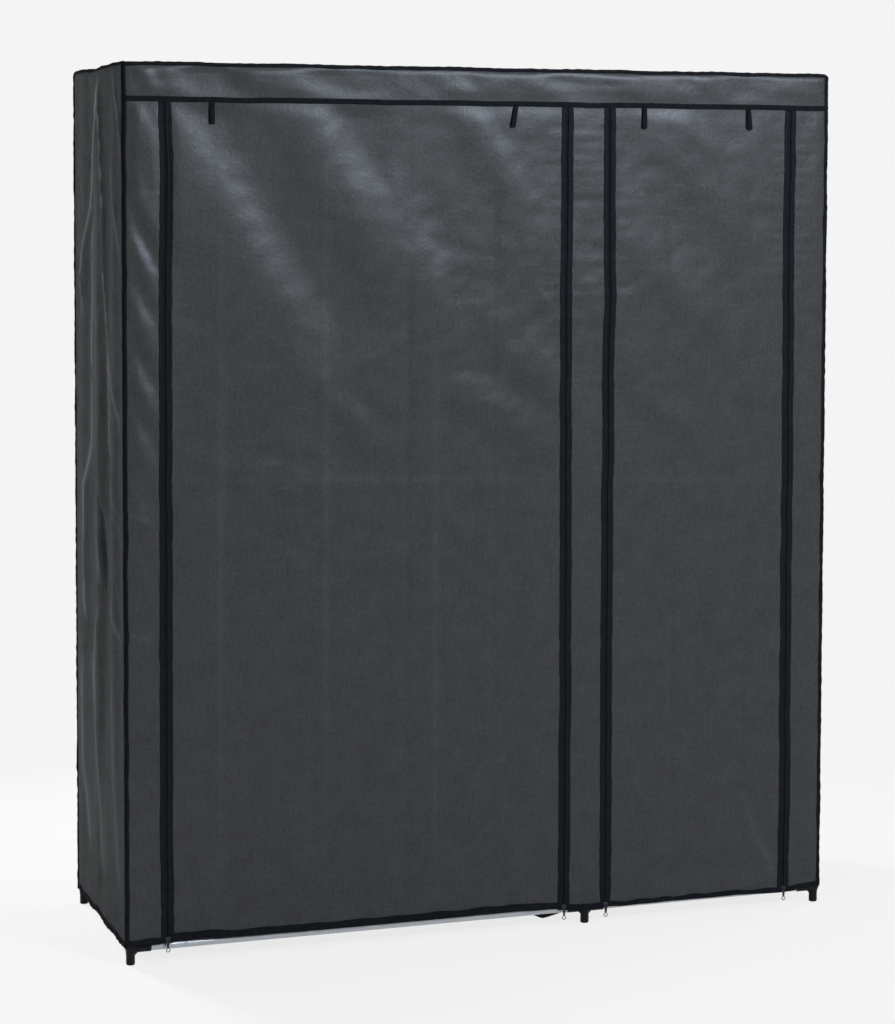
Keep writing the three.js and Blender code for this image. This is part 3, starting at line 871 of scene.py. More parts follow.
def straight_tube(node, start, end):
    """A tube that stands for the node between two hubs."""
    way = (end - start).normalized()
    foot = start + way * SOCKET_FLOOR
    profile = tube_profile((end - start).length - SOCKET_FLOOR * 2, TUBE_RADIUS)
    bm = bmesh.new()
    turned(bm, profile, way, foot, bpy.context.scene.wardrobe_frame.sides, closed=True)
    fix(piece_from(bm, f"{node}_tube", ["painted_steel"]), node)


class WARDROBE_OT_tubes(bpy.types.Operator):
    """Posts, bars and crossbars of painted steel tube"""

    bl_idname = "wardrobe.tubes"
    bl_label = "Posts and bars"

    def execute(self, context):
        for row, y in POST_Y.items():
            for column, x in POST_X.items():
                low, high = Vector((x, y, BAR_Z["bottom"])), Vector((x, y, BAR_Z["top"]))
                straight_tube(f"{row}_{column}_post", low, high)
        for level, z in BAR_Z.items():
            for row, y in POST_Y.items():
                ends = [Vector((POST_X[column], y, z)) for column in ("left", "right")]
                straight_tube(f"{row}_{level}_bar", *ends)
            for column, x in POST_X.items():
                ends = [Vector((x, POST_Y[row], z)) for row in ROWS]
                straight_tube(f"{column}_{level}_crossbar", *ends)
        return {"FINISHED"}


SLEEVE_RADIUS = 0.0095
SLEEVE_BORE = 0.00815
FOOT_RADIUS = 0.0087


def sleeve_profile():
    """A socket from behind the hub to its mouth, with two grip grooves and a rounded lip."""
    reach, radius, bore = CONNECTOR_REACH, SLEEVE_RADIUS, SLEEVE_BORE
    groove, depth = 0.0016, 0.0004
    points = [(0.0, -radius), (radius * 0.68, -radius)]
    points += [(radius * 0.9, -radius * 0.9), (radius, -radius * 0.68)]
    for start in (reach * 0.66, reach * 0.78):
        points += [
            (radius, start), (radius - depth, start + depth),
            (radius - depth, start + groove), (radius, start + groove + depth),
        ]
    points += [(radius, reach - 0.0012), (radius - 0.0004, reach - 0.0003), (bore + 0.0003, reach)]
    return points + [(bore, reach - 0.0006), (bore, SOCKET_FLOOR - 0.0003), (0.0, SOCKET_FLOOR - 0.0003)]


def foot_profile(height):
    """A round foot with a rounded rim, slightly thicker in its upper third."""
    flat, collar = FOOT_RADIUS - 0.0024, FOOT_RADIUS + 0.0006
    return [
        (0.0, 0.0), (flat, 0.0), (flat + 0.0014, 0.0005), (FOOT_RADIUS - 0.0003, 0.0014),
        (FOOT_RADIUS, 0.0027), (FOOT_RADIUS, height * 0.62), (collar, height * 0.66), (collar, height),
        (0.0, height),
    ]


WEB = {"reach": 0.0065, "thickness": 0.0040}  # fillet between the foot and an arm


def web(bm, hub, arm):
    """A small three-cornered web in the angle between the foot and an arm."""
    side = arm.cross(UP) * (WEB["thickness"] / 2)
    inner, low = SLEEVE_RADIUS - 0.0012, -SLEEVE_RADIUS + 0.0012
    corners = [arm * inner + UP * low, arm * (inner + WEB["reach"]) + UP * low,
               arm * inner + UP * (low - WEB["reach"])]
    faces = [[bm.verts.new(hub + corner + offset) for corner in corners] for offset in (side, -side)]
    front, back = faces
    made = [bm.faces.new(front), bm.faces.new(back[::-1])]
    for index in range(3):
        after = (index + 1) % 3
        made.append(bm.faces.new((front[index], back[index], back[after], front[after])))
    bmesh.ops.recalc_face_normals(bm, faces=made)


class WARDROBE_OT_connectors(bpy.types.Operator):
    """Moulded connectors with a socket for each tube, and feet below the lowest ones"""

    bl_idname = "wardrobe.connectors"
    bl_label = "Connectors and feet"

    def execute(self, context):
        side_arms = {"left": [RIGHT], "middle": [LEFT, RIGHT], "right": [LEFT]}
        depth_arm = {"front": BACKWARD, "back": FORWARD}
        post_arm = {"bottom": UP, "top": DOWN}
        sides = context.scene.wardrobe_frame.sides
        for level, z in BAR_Z.items():
            for row, y in POST_Y.items():
                for column, x in POST_X.items():
                    bm = bmesh.new()
                    hub = Vector((x, y, z))
                    for arm in [*side_arms[column], depth_arm[row], post_arm[level]]:
                        turned(bm, sleeve_profile(), arm, hub, sides)
                    if level == "bottom":
                        turned(bm, foot_profile(z), UP, Vector((x, y, 0.0)), sides)
                        for arm in [*side_arms[column], depth_arm[row]]:
                            web(bm, hub, arm)
                    node = f"{row}_{column}_{level}_connector"
                    fix(piece_from(bm, f"{node}_moulding", ["moulded_plastic"], sharp=28.0), node)
        return {"FINISHED"}


def ring_profile(height):
    """The wall of a ring round a tube, with its edges broken."""
    outer, bore, lip = SLEEVE_RADIUS, SLEEVE_BORE, 0.0007
    half = height / 2
    return [
        (bore, -half + lip), (bore + lip, -half), (outer - lip, -half), (outer, -half + lip),
        (outer, half - lip), (outer - lip, half), (bore + lip, half), (bore, half - lip),
    ]


RING_HEIGHT = 0.024
RING_LAP = 0.0004  # how far a tube reaches into the wall of its ring


def ringed_tube(name, start, end, ring_axis, finishes):
    """A tube whose ends carry moulded rings."""
    bm = bmesh.new()
    sides = bpy.context.scene.wardrobe_frame.sides
    way = (end - start).normalized()
    inset = SLEEVE_RADIUS - RING_LAP
    length = (end - start).length - inset * 2
    turned(bm, tube_profile(length, TUBE_RADIUS), way, start + way * inset, sides, closed=True)
    tube_faces = set(bm.faces)
    for place in (start, end):
        turned(bm, ring_profile(RING_HEIGHT), ring_axis, place, sides, closed=True)
    for face in bm.faces:
        face.material_index = 0 if face in tube_faces else 1
    return piece_from(bm, name, finishes)


class WARDROBE_OT_clothes_rail(bpy.types.Operator):
    """Rail between the top crossbars of the wide bay"""

    bl_idname = "wardrobe.clothes_rail"
    bl_label = "Clothes rail"

    def execute(self, context):
        ends = [Vector((POST_X[column], RAIL_Y, BAR_Z["top"])) for column in ("left", "middle")]
        rail = ringed_tube("clothes_rail_tube", *ends, BACKWARD, ["painted_steel", "moulded_plastic"])
        fix(rail, "clothes_rail")
        return {"FINISHED"}


# Shelves
SHELF_SLEEVE = 0.0092
SHELF_SAG = 0.009
SHELF_MARGIN = 0.026
SHELF_WRAP = math.radians(250)
SHELF_GRID = (0.012, 0.004)
SHELF_THICKNESS = 0.0008


def shelf_route(share, z):
    """Y and Z of a shelf's cloth, which goes round the front tube, across and round the back tube."""
    arc = SHELF_SLEEVE * SHELF_WRAP
    span = POST_Y["back"] - POST_Y["front"]
    total = span + arc * 2
    along = share * total
    across = np.clip((along - arc) / span, 0, 1)
    y = POST_Y["front"] + across * span
    height = z + SHELF_SLEEVE - SHELF_SAG * np.sin(math.pi * across)
    front_turn = np.clip((arc - along) / SHELF_SLEEVE, 0, SHELF_WRAP)
    back_turn = np.clip((along - arc - span) / SHELF_SLEEVE, 0, SHELF_WRAP)
    y = y - SHELF_SLEEVE * np.sin(front_turn) + SHELF_SLEEVE * np.sin(back_turn)
    height = height - SHELF_SLEEVE * (1 - np.cos(front_turn)) - SHELF_SLEEVE * (1 - np.cos(back_turn))
    return y, height, total


class WARDROBE_OT_shelves(bpy.types.Operator):
    """Fabric shelves with a tube sewn into the front and the back edge"""

    bl_idname = "wardrobe.shelves"
    bl_label = "Shelves"

    def execute(self, context):
        ends_x = (POST_X["middle"] + SHELF_MARGIN, POST_X["right"] - SHELF_MARGIN)
        width = ends_x[1] - ends_x[0]
        for index in range(1, SHELF_COUNT + 1):
            z = node_middle(f"shelf_{index}").z
            _, _, total = shelf_route(0.0, z)

            def place(u, v, z=z, total=total, index=index):
                y, height, _ = shelf_route(v / total, z)
                free = bell(y, RAIL_Y, 0.15) * np.sin(math.pi * (u - ends_x[0]) / width)
                ripple = 0.0016 * waves(u, y, 90 + index, 0.05, 0.18)
                return np.column_stack([u, y, height + free * ripple - 0.0010 * free])

            below = Vector((node_middle("shelf_1").x, MIDDLE.y, z - 0.2))
            cloth = sheet(
                f"shelf_{index}_cloth", ends_x, (0.0, total), SHELF_GRID, place, SHELF_THICKNESS,
                "shelf_cloth", seed=float(index), outwards_from=below,
            )
            fix(cloth, f"shelf_{index}")
            for row, y in POST_Y.items():
                ends = [Vector((POST_X[column], y, z)) for column in ("middle", "right")]
                name = f"shelf_{index}_{row}_tube"
                tube = ringed_tube(name, *ends, UP, ["painted_steel", "moulded_plastic"])
                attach(tube, BODY)
        return {"FINISHED"}


# Cover walls
def declare_wall(piece, width, length, *nodes):
    """A wall or part of one: it stands for the nodes and rides on the wardrobe itself."""
    fix(piece, *nodes)


class WARDROBE_OT_side_walls(bpy.types.Operator):
    """Left and right walls of the cover, with long upright folds"""

    bl_idname = "wardrobe.side_walls"
    bl_label = "Side walls"

    def execute(self, context):
        cloth = context.scene.wardrobe_cloth
        for side in SIDE_X:
            def place(u, v, side=side):
                return on_side(side, u, v)

            # painted highlight along the wall's creases, which also stands for wear
            def wear_and_highlight(u, v, side=side):
                return side_wear_highlight(u, v, side)

            wall = sheet(
                f"{side}_wall", (FRONT_Y, BACK_Y), (SIDE_HEM, COVER_HIGH.z), (0.005, cloth.side_grid),
                place, cloth.thickness, "cover_cloth", seed=SIDE_PATTERN[side], wear_and_highlight=wear_and_highlight,
            )
            declare_wall(wall, COVER_DEPTH, COVER_HIGH.z - SIDE_HEM, f"cover_{side}")
        return {"FINISHED"}


class WARDROBE_OT_back_wall(bpy.types.Operator):
    """Back wall of the cover"""

    bl_idname = "wardrobe.back_wall"
    bl_label = "Back wall"

    def execute(self, context):
        cloth = context.scene.wardrobe_cloth
        wall = sheet(
            "back_wall", (SIDE_X["left"], SIDE_X["right"]), (BACK_HEM, COVER_HIGH.z),
            (cloth.side_grid, cloth.side_grid), on_back, cloth.thickness, "cover_cloth", seed=7.0,
        )
        declare_wall(wall, COVER_WIDTH, COVER_HIGH.z - BACK_HEM, "cover_back")
        return {"FINISHED"}


class WARDROBE_OT_top_wall(bpy.types.Operator):
    """Top of the cover, sagging between the bars"""

    bl_idname = "wardrobe.top_wall"
    bl_label = "Top"

    def execute(self, context):
        cloth = context.scene.wardrobe_cloth
        wall = sheet(
            "top_wall", (SIDE_X["left"], SIDE_X["right"]), (FRONT_Y, BACK_Y),
            (cloth.side_grid, 0.007), on_top, cloth.thickness, "cover_cloth", seed=9.0,
        )
        declare_wall(wall, COVER_WIDTH, COVER_DEPTH, "cover_top")
        return {"FINISHED"}


CLOTH_REACH = 0.0040  # from a zip's centre line to the cloth on either side of it


def front_hem(x):
    """Height of the front's lower edge."""
    line = np.interp(x, *np.array(HEM_LINE).T)
    return line + HEM_LAP + 0.0003 * wavering(x, 121, 0.04, 0.12)


def down_to_hem(x, z, top):
    """Z of a panel whose lower edge follows the hem while its upper edge stays level."""
    hem = front_hem(x)
    nominal = float(np.min(z))
    share = (z - nominal) / (top - nominal)
    return hem + (top - hem) * share


def front_panel(name, across, top, bottom=None):
    """A fixed panel of the front, down to the hem where no bottom is given."""
    cloth = bpy.context.scene.wardrobe_cloth
    low = bottom if bottom is not None else float(np.min(front_hem(np.array(across))))

    def place(u, v):
        return on_front(u, v if bottom is not None else down_to_hem(u, v, top))

    return sheet(
        name, across, (low, top), (cloth.grid, cloth.grid), place, cloth.thickness, "door_cloth",
        # painted highlight along the front's raised creases, which also stands for wear
        wear_and_highlight=front_wear_highlight,
    )


class WARDROBE_OT_front_panels(bpy.types.Operator):
    """Header band and the fixed panels beside and between the doors"""

    bl_idname = "wardrobe.front_panels"
    bl_label = "Header and fixed front panels"

    def execute(self, context):
        header = front_panel("header_band", (FRONT_EDGES[0], FRONT_EDGES[-1]), COVER_HIGH.z, bottom=SEAM_Z)
        declare_wall(header, COVER_WIDTH, COVER_HIGH.z - SEAM_Z, "cover_front")
        for name, (start, end) in FRONT_SPANS.items():
            if name in DOORS:
                continue
            start += CLOTH_REACH if name != FRONT_PARTS[0] else 0.0
            end -= CLOTH_REACH if name != FRONT_PARTS[-1] else 0.0
            panel = front_panel(name, (start, end), SEAM_Z)
            declare_wall(panel, end - start, SEAM_Z - float(front_hem(np.array([start]))[0]))
        return {"FINISHED"}


def fold_heights(door):
    """Heights of the folds between a door's strips, from the top down."""
    folds = []
    for index in range(1, STRIP_COUNT):
        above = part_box(f"{door}_strip_{index}")[0].z
        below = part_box(f"{door}_strip_{index + 1}")[1].z
        folds.append((above + below) / 2)
    return folds


def door_parts(door):
    """Height range of each part of a door, and the bodies that it bends between."""
    folds = fold_heights(door)
    left, right = DOORS[door]
    hem = min(ZIP_HEM[left], ZIP_HEM[right])
    bounds = [SEAM_Z, *folds, hem]
    middles = [(high + low) / 2 for high, low in zip(bounds, bounds[1:])]
    cuts = [SEAM_Z, *middles, hem]
    bodies = [BODY, *[f"{door}_strip_{index}" for index in range(1, STRIP_COUNT + 1)]]
    hinges = [SEAM_Z, *folds]
    parts = []
    for index in range(STRIP_COUNT + 1):
        pair = bodies[index:index + 2]
        parts.append({"index": index, "top": cuts[index], "low": cuts[index + 1], "bodies": pair,
                      "hinge": hinges[index] if index < len(hinges) else None})
    return parts


def follow_door(piece, part):
    """The last piece rides on the last strip; any other piece only has its transform baked into its mesh.
    """
    if part["hinge"] is None:
        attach(piece, part["bodies"][0])
        return
    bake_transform(piece)


class WARDROBE_OT_doors(bpy.types.Operator):
    """Cloth of the two doors, cut where it folds"""

    bl_idname = "wardrobe.doors"
    bl_label = "Door cloth"

    def execute(self, context):
        for door, (left, right) in DOORS.items():
            across = (ZIP_X[left] + CLOTH_REACH, ZIP_X[right] - CLOTH_REACH)
            for part in door_parts(door):
                is_last = part["hinge"] is None
                name = f"{door}_cloth_{part['index'] + 1}"
                bottom = None if is_last else part["low"]
                piece = front_panel(name, across, part["top"], bottom=bottom)
                strip = min(part["index"] + 1, STRIP_COUNT)
                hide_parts(f"{door}_strip_{strip}")
                follow_door(piece, part)
        return {"FINISHED"}


# Zips
COIL_MIDDLE = 0.0021
COIL_HEIGHT = 0.0010
TAPE_STAND_OFF = 0.0012
TAPE_THICKNESS = 0.0009
TAPE_GRID = (0.0009, 0.0060)
ZIP_WANDER = {  # how each zip strays sideways: height, reach and distance
    "left_door_left": ((1.520, 0.110, 0.0030), (0.300, 0.500, -0.0012)),
    "left_door_right": ((1.200, 0.300, -0.0014), (0.500, 0.300, 0.0010)),
    "right_door_left": ((1.330, 0.120, 0.0020), (0.600, 0.300, -0.0010)),
    "right_door_right": ((1.400, 0.200, -0.0022), (0.250, 0.120, 0.0016)),
}


def zip_line(name, z):
    """X of a zip's centre line."""
    wander = sum(far * bell(z, height, reach) for height, reach, far in ZIP_WANDER[name])
    loose = eased(z, ZIP_HEM[name] + 0.02, ZIP_HEM[name] + 0.20) * eased(SEAM_Z - z, 0.0, 0.10)
    fine = 0.0007 * wavering(z, 131 + ZIP_NAMES.index(name), 0.10, 0.35)
    return ZIP_X[name] + loose * (wander + fine)


def tape_height(across):
    """How far the tape stands off the cloth: flat, with a hump over the coil and a stitched groove."""
    hump = COIL_HEIGHT * bell(across, COIL_MIDDLE, 0.0016)
    centre = -0.0009 * bell(across, 0.0, 0.0008)
    inner, outer = ZIP_STITCHES
    groove = -0.0003 * bell(across, outer, 0.0007) - 0.0003 * bell(across, inner, 0.0006)
    edge = -0.0008 * eased(across, 0.0118, 0.0132)
    return TAPE_STAND_OFF + hump + centre + groove + edge


UNDERLAP = 0.0014  # how far the fixed tape passes behind the door's


def half_zip(name, piece_name, outward, along, underlap=0.0):
    """One tape of a zip, from its centre line outwards to the left (-1) or the right (1).

    With an underlap, its inner edge passes behind the other tape.
    """
    width = bpy.context.scene.wardrobe_trim.tape_width

    def place(u, v):
        taper = 1.0
        if name == "right_door_left":
            taper = 0.72 + 0.28 * eased(v, ZIP_HEM[name], ZIP_HEM[name] + 0.045)
        ragged = 1 + 0.035 * wavering(v, 151, 0.03, 0.12) * (u / width)
        x = zip_line(name, v) + outward * u * ragged * taper
        under_binding = 1 - 0.55 * eased(v, SEAM_Z - 0.012, SEAM_Z - 0.004)
        sunk = underlap * (1 - eased(u, -0.0003, 0.0009))
        return on_front(x, v, tape_height(u) * under_binding - sunk)

    return sheet(piece_name, (-underlap, width), along, TAPE_GRID, place, TAPE_THICKNESS, "zip_tape")


class WARDROBE_OT_zips(bpy.types.Operator):
    """Zip tapes with their coils: one half on each fixed panel, the other on the door"""

    bl_idname = "wardrobe.zips"
    bl_label = "Zip tapes"

    def execute(self, context):
        for door, names in DOORS.items():
            for name, inward in zip(names, (1, -1)):
                hem = ZIP_HEM[name] + 0.001
                tape = half_zip(name, f"{name}_fixed_tape", -inward, (hem, SEAM_Z), underlap=UNDERLAP)
                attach(tape, BODY)
                for part in door_parts(door):
                    low = part["low"] if part["hinge"] is not None else hem
                    piece_name = f"{name}_door_tape_{part['index'] + 1}"
                    follow_door(half_zip(name, piece_name, inward, (low, part["top"])), part)
        return {"FINISHED"}


# Sliders and pulls
SLIDER_BACK = 0.0033  # the plate lies just in front of the coil
SLIDER_FRONT = 0.0041
SLIDER_RIM = 0.0027  # its rims reach back to here beside the coil


def rounded(bm, edges, offset, segments=2):
    bmesh.ops.bevel(
        bm, geom=edges, offset=offset, offset_type="OFFSET", segments=segments, profile=0.5,
        affect="EDGES", material=-1, clamp_overlap=True,
    )


def plate(bm, outline, x, z, back, front):
    """A flat plate with the outline, drawn about X and Z, and all its edges."""
    face = bm.faces.new([bm.verts.new((x + px, back, z + pz)) for px, pz in outline])
    grown = bmesh.ops.extrude_face_region(bm, geom=[face])["geom"]
    moved = [item for item in grown if isinstance(item, bmesh.types.BMVert)]
    bmesh.ops.translate(bm, verts=moved, vec=(0, front - back, 0))
    faces = {item for vert in moved for item in vert.link_faces} | {face}
    return list({edge for item in faces for edge in item.edges})


def slider_plate(bm, x, z, back, front):
    """The slider's front plate, narrow at its tail, with rounded edges."""
    wide, neck, high, shoulder = 0.0045, 0.0031, 0.0055, -0.0004
    right = [(neck, -high), (wide, shoulder), (wide * 0.92, high)]
    plate(bm, [(-neck, -high), *right, (-wide * 0.92, high), (-wide, shoulder)], x, z, back, front)
    bmesh.ops.recalc_face_normals(bm, faces=bm.faces[:])
    rounded(bm, bm.edges[:], 0.00035, 3)


def bent_rod(bm, centre, big, small, plane, start, turn, steps, sides=12):
    """Part of a ring: a small circle spun about the centre in the plane YZ or XZ."""
    before = set(bm.verts)
    circle = bmesh.ops.create_circle(bm, cap_ends=True, segments=sides, radius=small)["verts"]
    faces = list({face for vert in circle for face in vert.link_faces})
    axis, out = (RIGHT, BACKWARD) if plane == "YZ" else (BACKWARD, RIGHT)
    bmesh.ops.translate(bm, verts=circle, vec=out * big)
    bmesh.ops.rotate(bm, verts=circle, cent=(0, 0, 0), matrix=Matrix.Rotation(start, 3, axis))
    is_whole = abs(turn) >= FULL_TURN - 1e-6
    edges = list({edge for vert in circle for edge in vert.link_edges})
    bmesh.ops.delete(bm, geom=faces, context="FACES_ONLY")
    bmesh.ops.spin(
        bm, geom=circle + edges, axis=axis, cent=(0, 0, 0), angle=turn, steps=steps, use_merge=is_whole,
    )
    if is_whole:
        bmesh.ops.remove_doubles(bm, verts=added_since(bm, before), dist=1e-7)
    else:
        bmesh.ops.holes_fill(bm, edges=[edge for edge in bm.edges if edge.is_boundary], sides=0)
    fresh = added_since(bm, before)
    faces = list({face for vert in fresh for face in vert.link_faces})
    bmesh.ops.recalc_face_normals(bm, faces=faces)
    bmesh.ops.translate(bm, verts=fresh, vec=centre)
    return fresh


PULL_NECK = 0.0026
PULL_RING = 0.0046
PULL_ROD = 0.0009
PULL_HALF_DEPTH = 0.0007
EYE_HALF = 0.0024  # from the middle of the pull's eye to its arms
BRIDGE_RADIUS = 0.0024
BRIDGE_WIRE = 0.0007
BRIDGE_REACH = 0.0014
POST_WIRE = 0.0005


class WARDROBE_OT_sliders(bpy.types.Operator):
    """Zip sliders with their bridges, and the pulls with a ring at the end"""

    bl_idname = "wardrobe.sliders"
    bl_label = "Sliders and pulls"

    def execute(self, context):
        for name in ZIP_NAMES:
            x, z = ZIP_X[name], ZIP_HEM[name] + SLIDER_ABOVE_HEM
            pull_y = node_middle(f"{name}_pull").y
            bm = bmesh.new()
            slider_plate(bm, x, z, FRONT_Y - SLIDER_BACK, FRONT_Y - SLIDER_FRONT)
            for side in (-1, 1):
                rim = [(side * 0.0041, -0.0002), (side * 0.0039, 0.0048)]
                depth = (SLIDER_FRONT - SLIDER_RIM) / 2
                self.bar(bm, rim, x, FRONT_Y - SLIDER_RIM - depth, z, 0.0004, depth)
            post_foot = Vector((x, FRONT_Y - SLIDER_BACK - 0.0003, z + 0.0032))
            turned(bm, pin_profile(POST_WIRE, 0.0012), BACKWARD, post_foot, 8)
            hub = Vector((x, pull_y, z))
            bent_rod(bm, hub, BRIDGE_RADIUS, BRIDGE_WIRE, "YZ", math.radians(90), -math.pi, 12)
            for end in (-1, 1):
                leg = Vector((x, pull_y, z + end * BRIDGE_RADIUS))
                turned(bm, pin_profile(BRIDGE_WIRE, BRIDGE_REACH), BACKWARD, leg, 12)
            slider = piece_from(bm, f"{name}_slider_body", ["black_lacquer"])
            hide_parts(f"{name}_slider")
            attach(slider, f"{name}_slider")
            pull = self.pull(name, x, pull_y, z)
            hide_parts(f"{name}_pull")
            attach(pull, f"{name}_pull")
        return {"FINISHED"}

    def pull(self, name, x, y, z):
        """An eye on the bridge, a tapering neck and a drop-shaped ring."""
        ring_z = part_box(f"{name}_pull")[0].z + PULL_RING
        bm = bmesh.new()
        for side in (1, -1):
            arm_x = side * EYE_HALF
            self.bar(bm, [(arm_x, 0.0006), (arm_x, -0.0046)], x, y, z, 0.0008, PULL_HALF_DEPTH)
        self.bar(bm, [(-0.0030, 0.0), (0.0030, 0.0)], x, y, z, 0.0006, 0.0006)
        neck = [(0.0034, -0.0040), (0.0034, -0.0056), (PULL_NECK, -0.0110)]
        neck.append((PULL_NECK * 0.8, ring_z - z + PULL_RING - 0.0010))
        outline = neck + [(-px, pz) for px, pz in reversed(neck)]
        rounded(bm, plate(bm, outline, x, z, y - PULL_HALF_DEPTH, y + PULL_HALF_DEPTH), 0.0004)
        bmesh.ops.recalc_face_normals(bm, faces=bm.faces[:])
        black = set(bm.faces)
        origin = Vector((0, 0, 0))
        fresh = bent_rod(bm, origin, PULL_RING - PULL_ROD, PULL_ROD, "XZ", 0.0, FULL_TURN, 32)
        for vert in fresh:
            drop = 1.0 - 0.20 * max(0.0, vert.co.z / PULL_RING)
            vert.co = Vector((x + vert.co.x * drop, y + vert.co.y, ring_z + vert.co.z))
        for item in bm.faces:
            item.material_index = 0 if item in black else 1
        return piece_from(bm, f"{name}_pull_tab", ["black_lacquer", "plated_ring"])

    def bar(self, bm, ends, x, y, z, half_width, half_depth):
        """A small rounded bar between two points of a slider or a pull."""
        (x1, z1), (x2, z2) = ends
        before = set(bm.verts)
        bmesh.ops.create_cube(bm, size=1.0)
        cube = added_since(bm, before)
        way = Vector((x2 - x1, 0, z2 - z1))
        turn = way.to_track_quat("Z", "Y").to_matrix().to_4x4()
        scale = Matrix.Diagonal((half_width * 2, half_depth * 2, way.length, 1.0))
        middle = Matrix.Translation((x + (x1 + x2) / 2, y, z + (z1 + z2) / 2))
        bmesh.ops.transform(bm, matrix=middle @ turn @ scale, verts=cube)
        rounded(bm, list({edge for vert in cube for edge in vert.link_edges}), 0.0003)


# Bindings
BINDING_EDGE = 0.0004
BINDING_BULGE = 0.0017


def tape_bulge(s, half):
    """Profile of a binding: its edges lie on the cloth and its middle stands off."""
    share = np.clip(np.abs(s) / half, 0, 1)
    return BINDING_EDGE + BINDING_BULGE * np.sqrt(1 - share**3 * 0.97)


def pinch(along, seed, strength=1.0):
    """Unevenness of a sewn tape: short puckers on longer ones."""
    short = 0.00035 * wavering(along, seed, 0.018, 0.050)
    return strength * (short + 0.0004 * wavering(along, seed + 1, 0.08, 0.25))


BACK_SEAM_SHIFT = 0.0084  # the back seams lie on the side walls, this far from the corner
RIGHT_SEAM_WIDER = 1.36
LEFT_KINKS = (0.879, 0.643)  # heights at which a corner seam steps sideways
OTHER_KINKS = (0.905,)


def edge_binding(name, corner, first, second, along, seed, kinks=(), shift=0.0, wider=1.0):
    """Tape over one edge of the cover: first and second point from the edge along its two faces.

    The shift moves the tape onto the second face.
    """
    half = bpy.context.scene.wardrobe_trim.binding_width / 2
    flat_half = half * 1.40 * wider
    corner, first, second = (np.array(item, float) for item in (corner, first, second))
    direction = np.abs(np.cross(first, second))

    def place(u, v):
        wobble = 0.0008 * wavering(v, seed, 0.07, 0.30)
        wobble = wobble + sum(0.0022 * bell(v, at, 0.012) for at in kinks)
        s = u + wobble - shift
        points = corner + np.outer(v, direction)
        points = points + np.outer(np.clip(s, 0, None), first) + np.outer(np.clip(-s, 0, None), second)
        return on_cover(points, tape_bulge(u, flat_half) + pinch(v, seed))

    piece = sheet(name, (-flat_half, flat_half), along, (0.0012, 0.004), place, 0.0013, "binding_tape")
    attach(piece, BODY)


class WARDROBE_OT_edge_bindings(bpy.types.Operator):
    """Black tape over the corner seams and round the top"""

    bl_idname = "wardrobe.edge_bindings"
    bl_label = "Corner and top bindings"

    def execute(self, context):
        seed = 161
        for row, y in (("front", FRONT_Y), ("back", BACK_Y)):
            for side, x in SIDE_X.items():
                hem = HEM_LINE[0 if side == "left" else -1][1] + HEM_LAP if row == "front" else BACK_HEM
                kinks = LEFT_KINKS if (row, side) == ("front", "left") else OTHER_KINKS
                edge_binding(
                    f"{row}_{side}_corner_binding", (x, y, 0.0), (INWARD[side], 0, 0), (0, INWARD[row], 0),
                    (hem - 0.001, COVER_HIGH.z), seed, kinks,
                    shift=BACK_SEAM_SHIFT if row == "back" else 0.0,
                    wider=RIGHT_SEAM_WIDER if (row, side) == ("front", "right") else 1.0,
                )
                seed += 3
            edge_binding(
                f"{row}_top_binding", (0.0, y, COVER_HIGH.z), (0, INWARD[row], 0), (0, 0, -1.0),
                (SIDE_X["left"], SIDE_X["right"]), seed,
            )
            seed += 3
        for side, x in SIDE_X.items():
            edge_binding(
                f"{side}_top_binding", (x, 0.0, COVER_HIGH.z), (INWARD[side], 0, 0), (0, 0, -1.0),
                (FRONT_Y, BACK_Y), seed,
            )
            seed += 3
        return {"FINISHED"}


def seam_binding(name, across):
    """A stretch of the tape over the header seam."""
    half = bpy.context.scene.wardrobe_trim.binding_width / 2

    def place(u, x):
        z = SEAM_Z + u + 0.0005 * wavering(x, 191, 0.10, 0.40)
        return on_front(x, z, tape_bulge(u, half) + pinch(x, 193, 0.7) + 0.0006)

    return sheet(name, (-half, half), across, (0.0010, 0.004), place, 0.0016, "binding_tape")


class WARDROBE_OT_header_binding(bpy.types.Operator):
    """Black tape over the seam between the header and the doors"""

    bl_idname = "wardrobe.header_binding"
    bl_label = "Header seam binding"

    def execute(self, context):
        for name, span in FRONT_SPANS.items():
            piece = seam_binding(f"{name}_seam_binding", span)
            if name not in DOORS:
                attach(piece, BODY)
                continue
            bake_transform(piece)
        return {"FINISHED"}


# Hems
HEM_SHARES = {  # height of the hem tape of each part of the front, as a share of the common one
    "left_margin": 0.96, "left_door": 1.16, "middle_strip": 1.04, "right_door": 0.82, "right_margin": 0.86,
}
HEM_THICKNESS = 0.0026
HEM_INSET = 0.0006  # between the hem of a door and its neighbours


def hem_strip(name, along, lower, place_flat, seed, stand=0.0012, share=1.0):
    """Tape folded round a lower edge, from just below it to the hem's height."""
    height = bpy.context.scene.wardrobe_trim.hem_height * share

    def place(u, v):
        uneven = 0.0010 * wavering(v, seed, 0.05, 0.16) * (u / height)
        z = lower(v) - HEM_LAP + u + uneven
        puff = 0.0005 * np.sin(math.pi * np.clip(u / height, 0, 1)) + pinch(v, seed + 1, 1.2)
        return place_flat(v, z, stand + puff)

    return sheet(name, (0.0, height), along, (0.0016, 0.005), place, HEM_THICKNESS, "binding_tape")


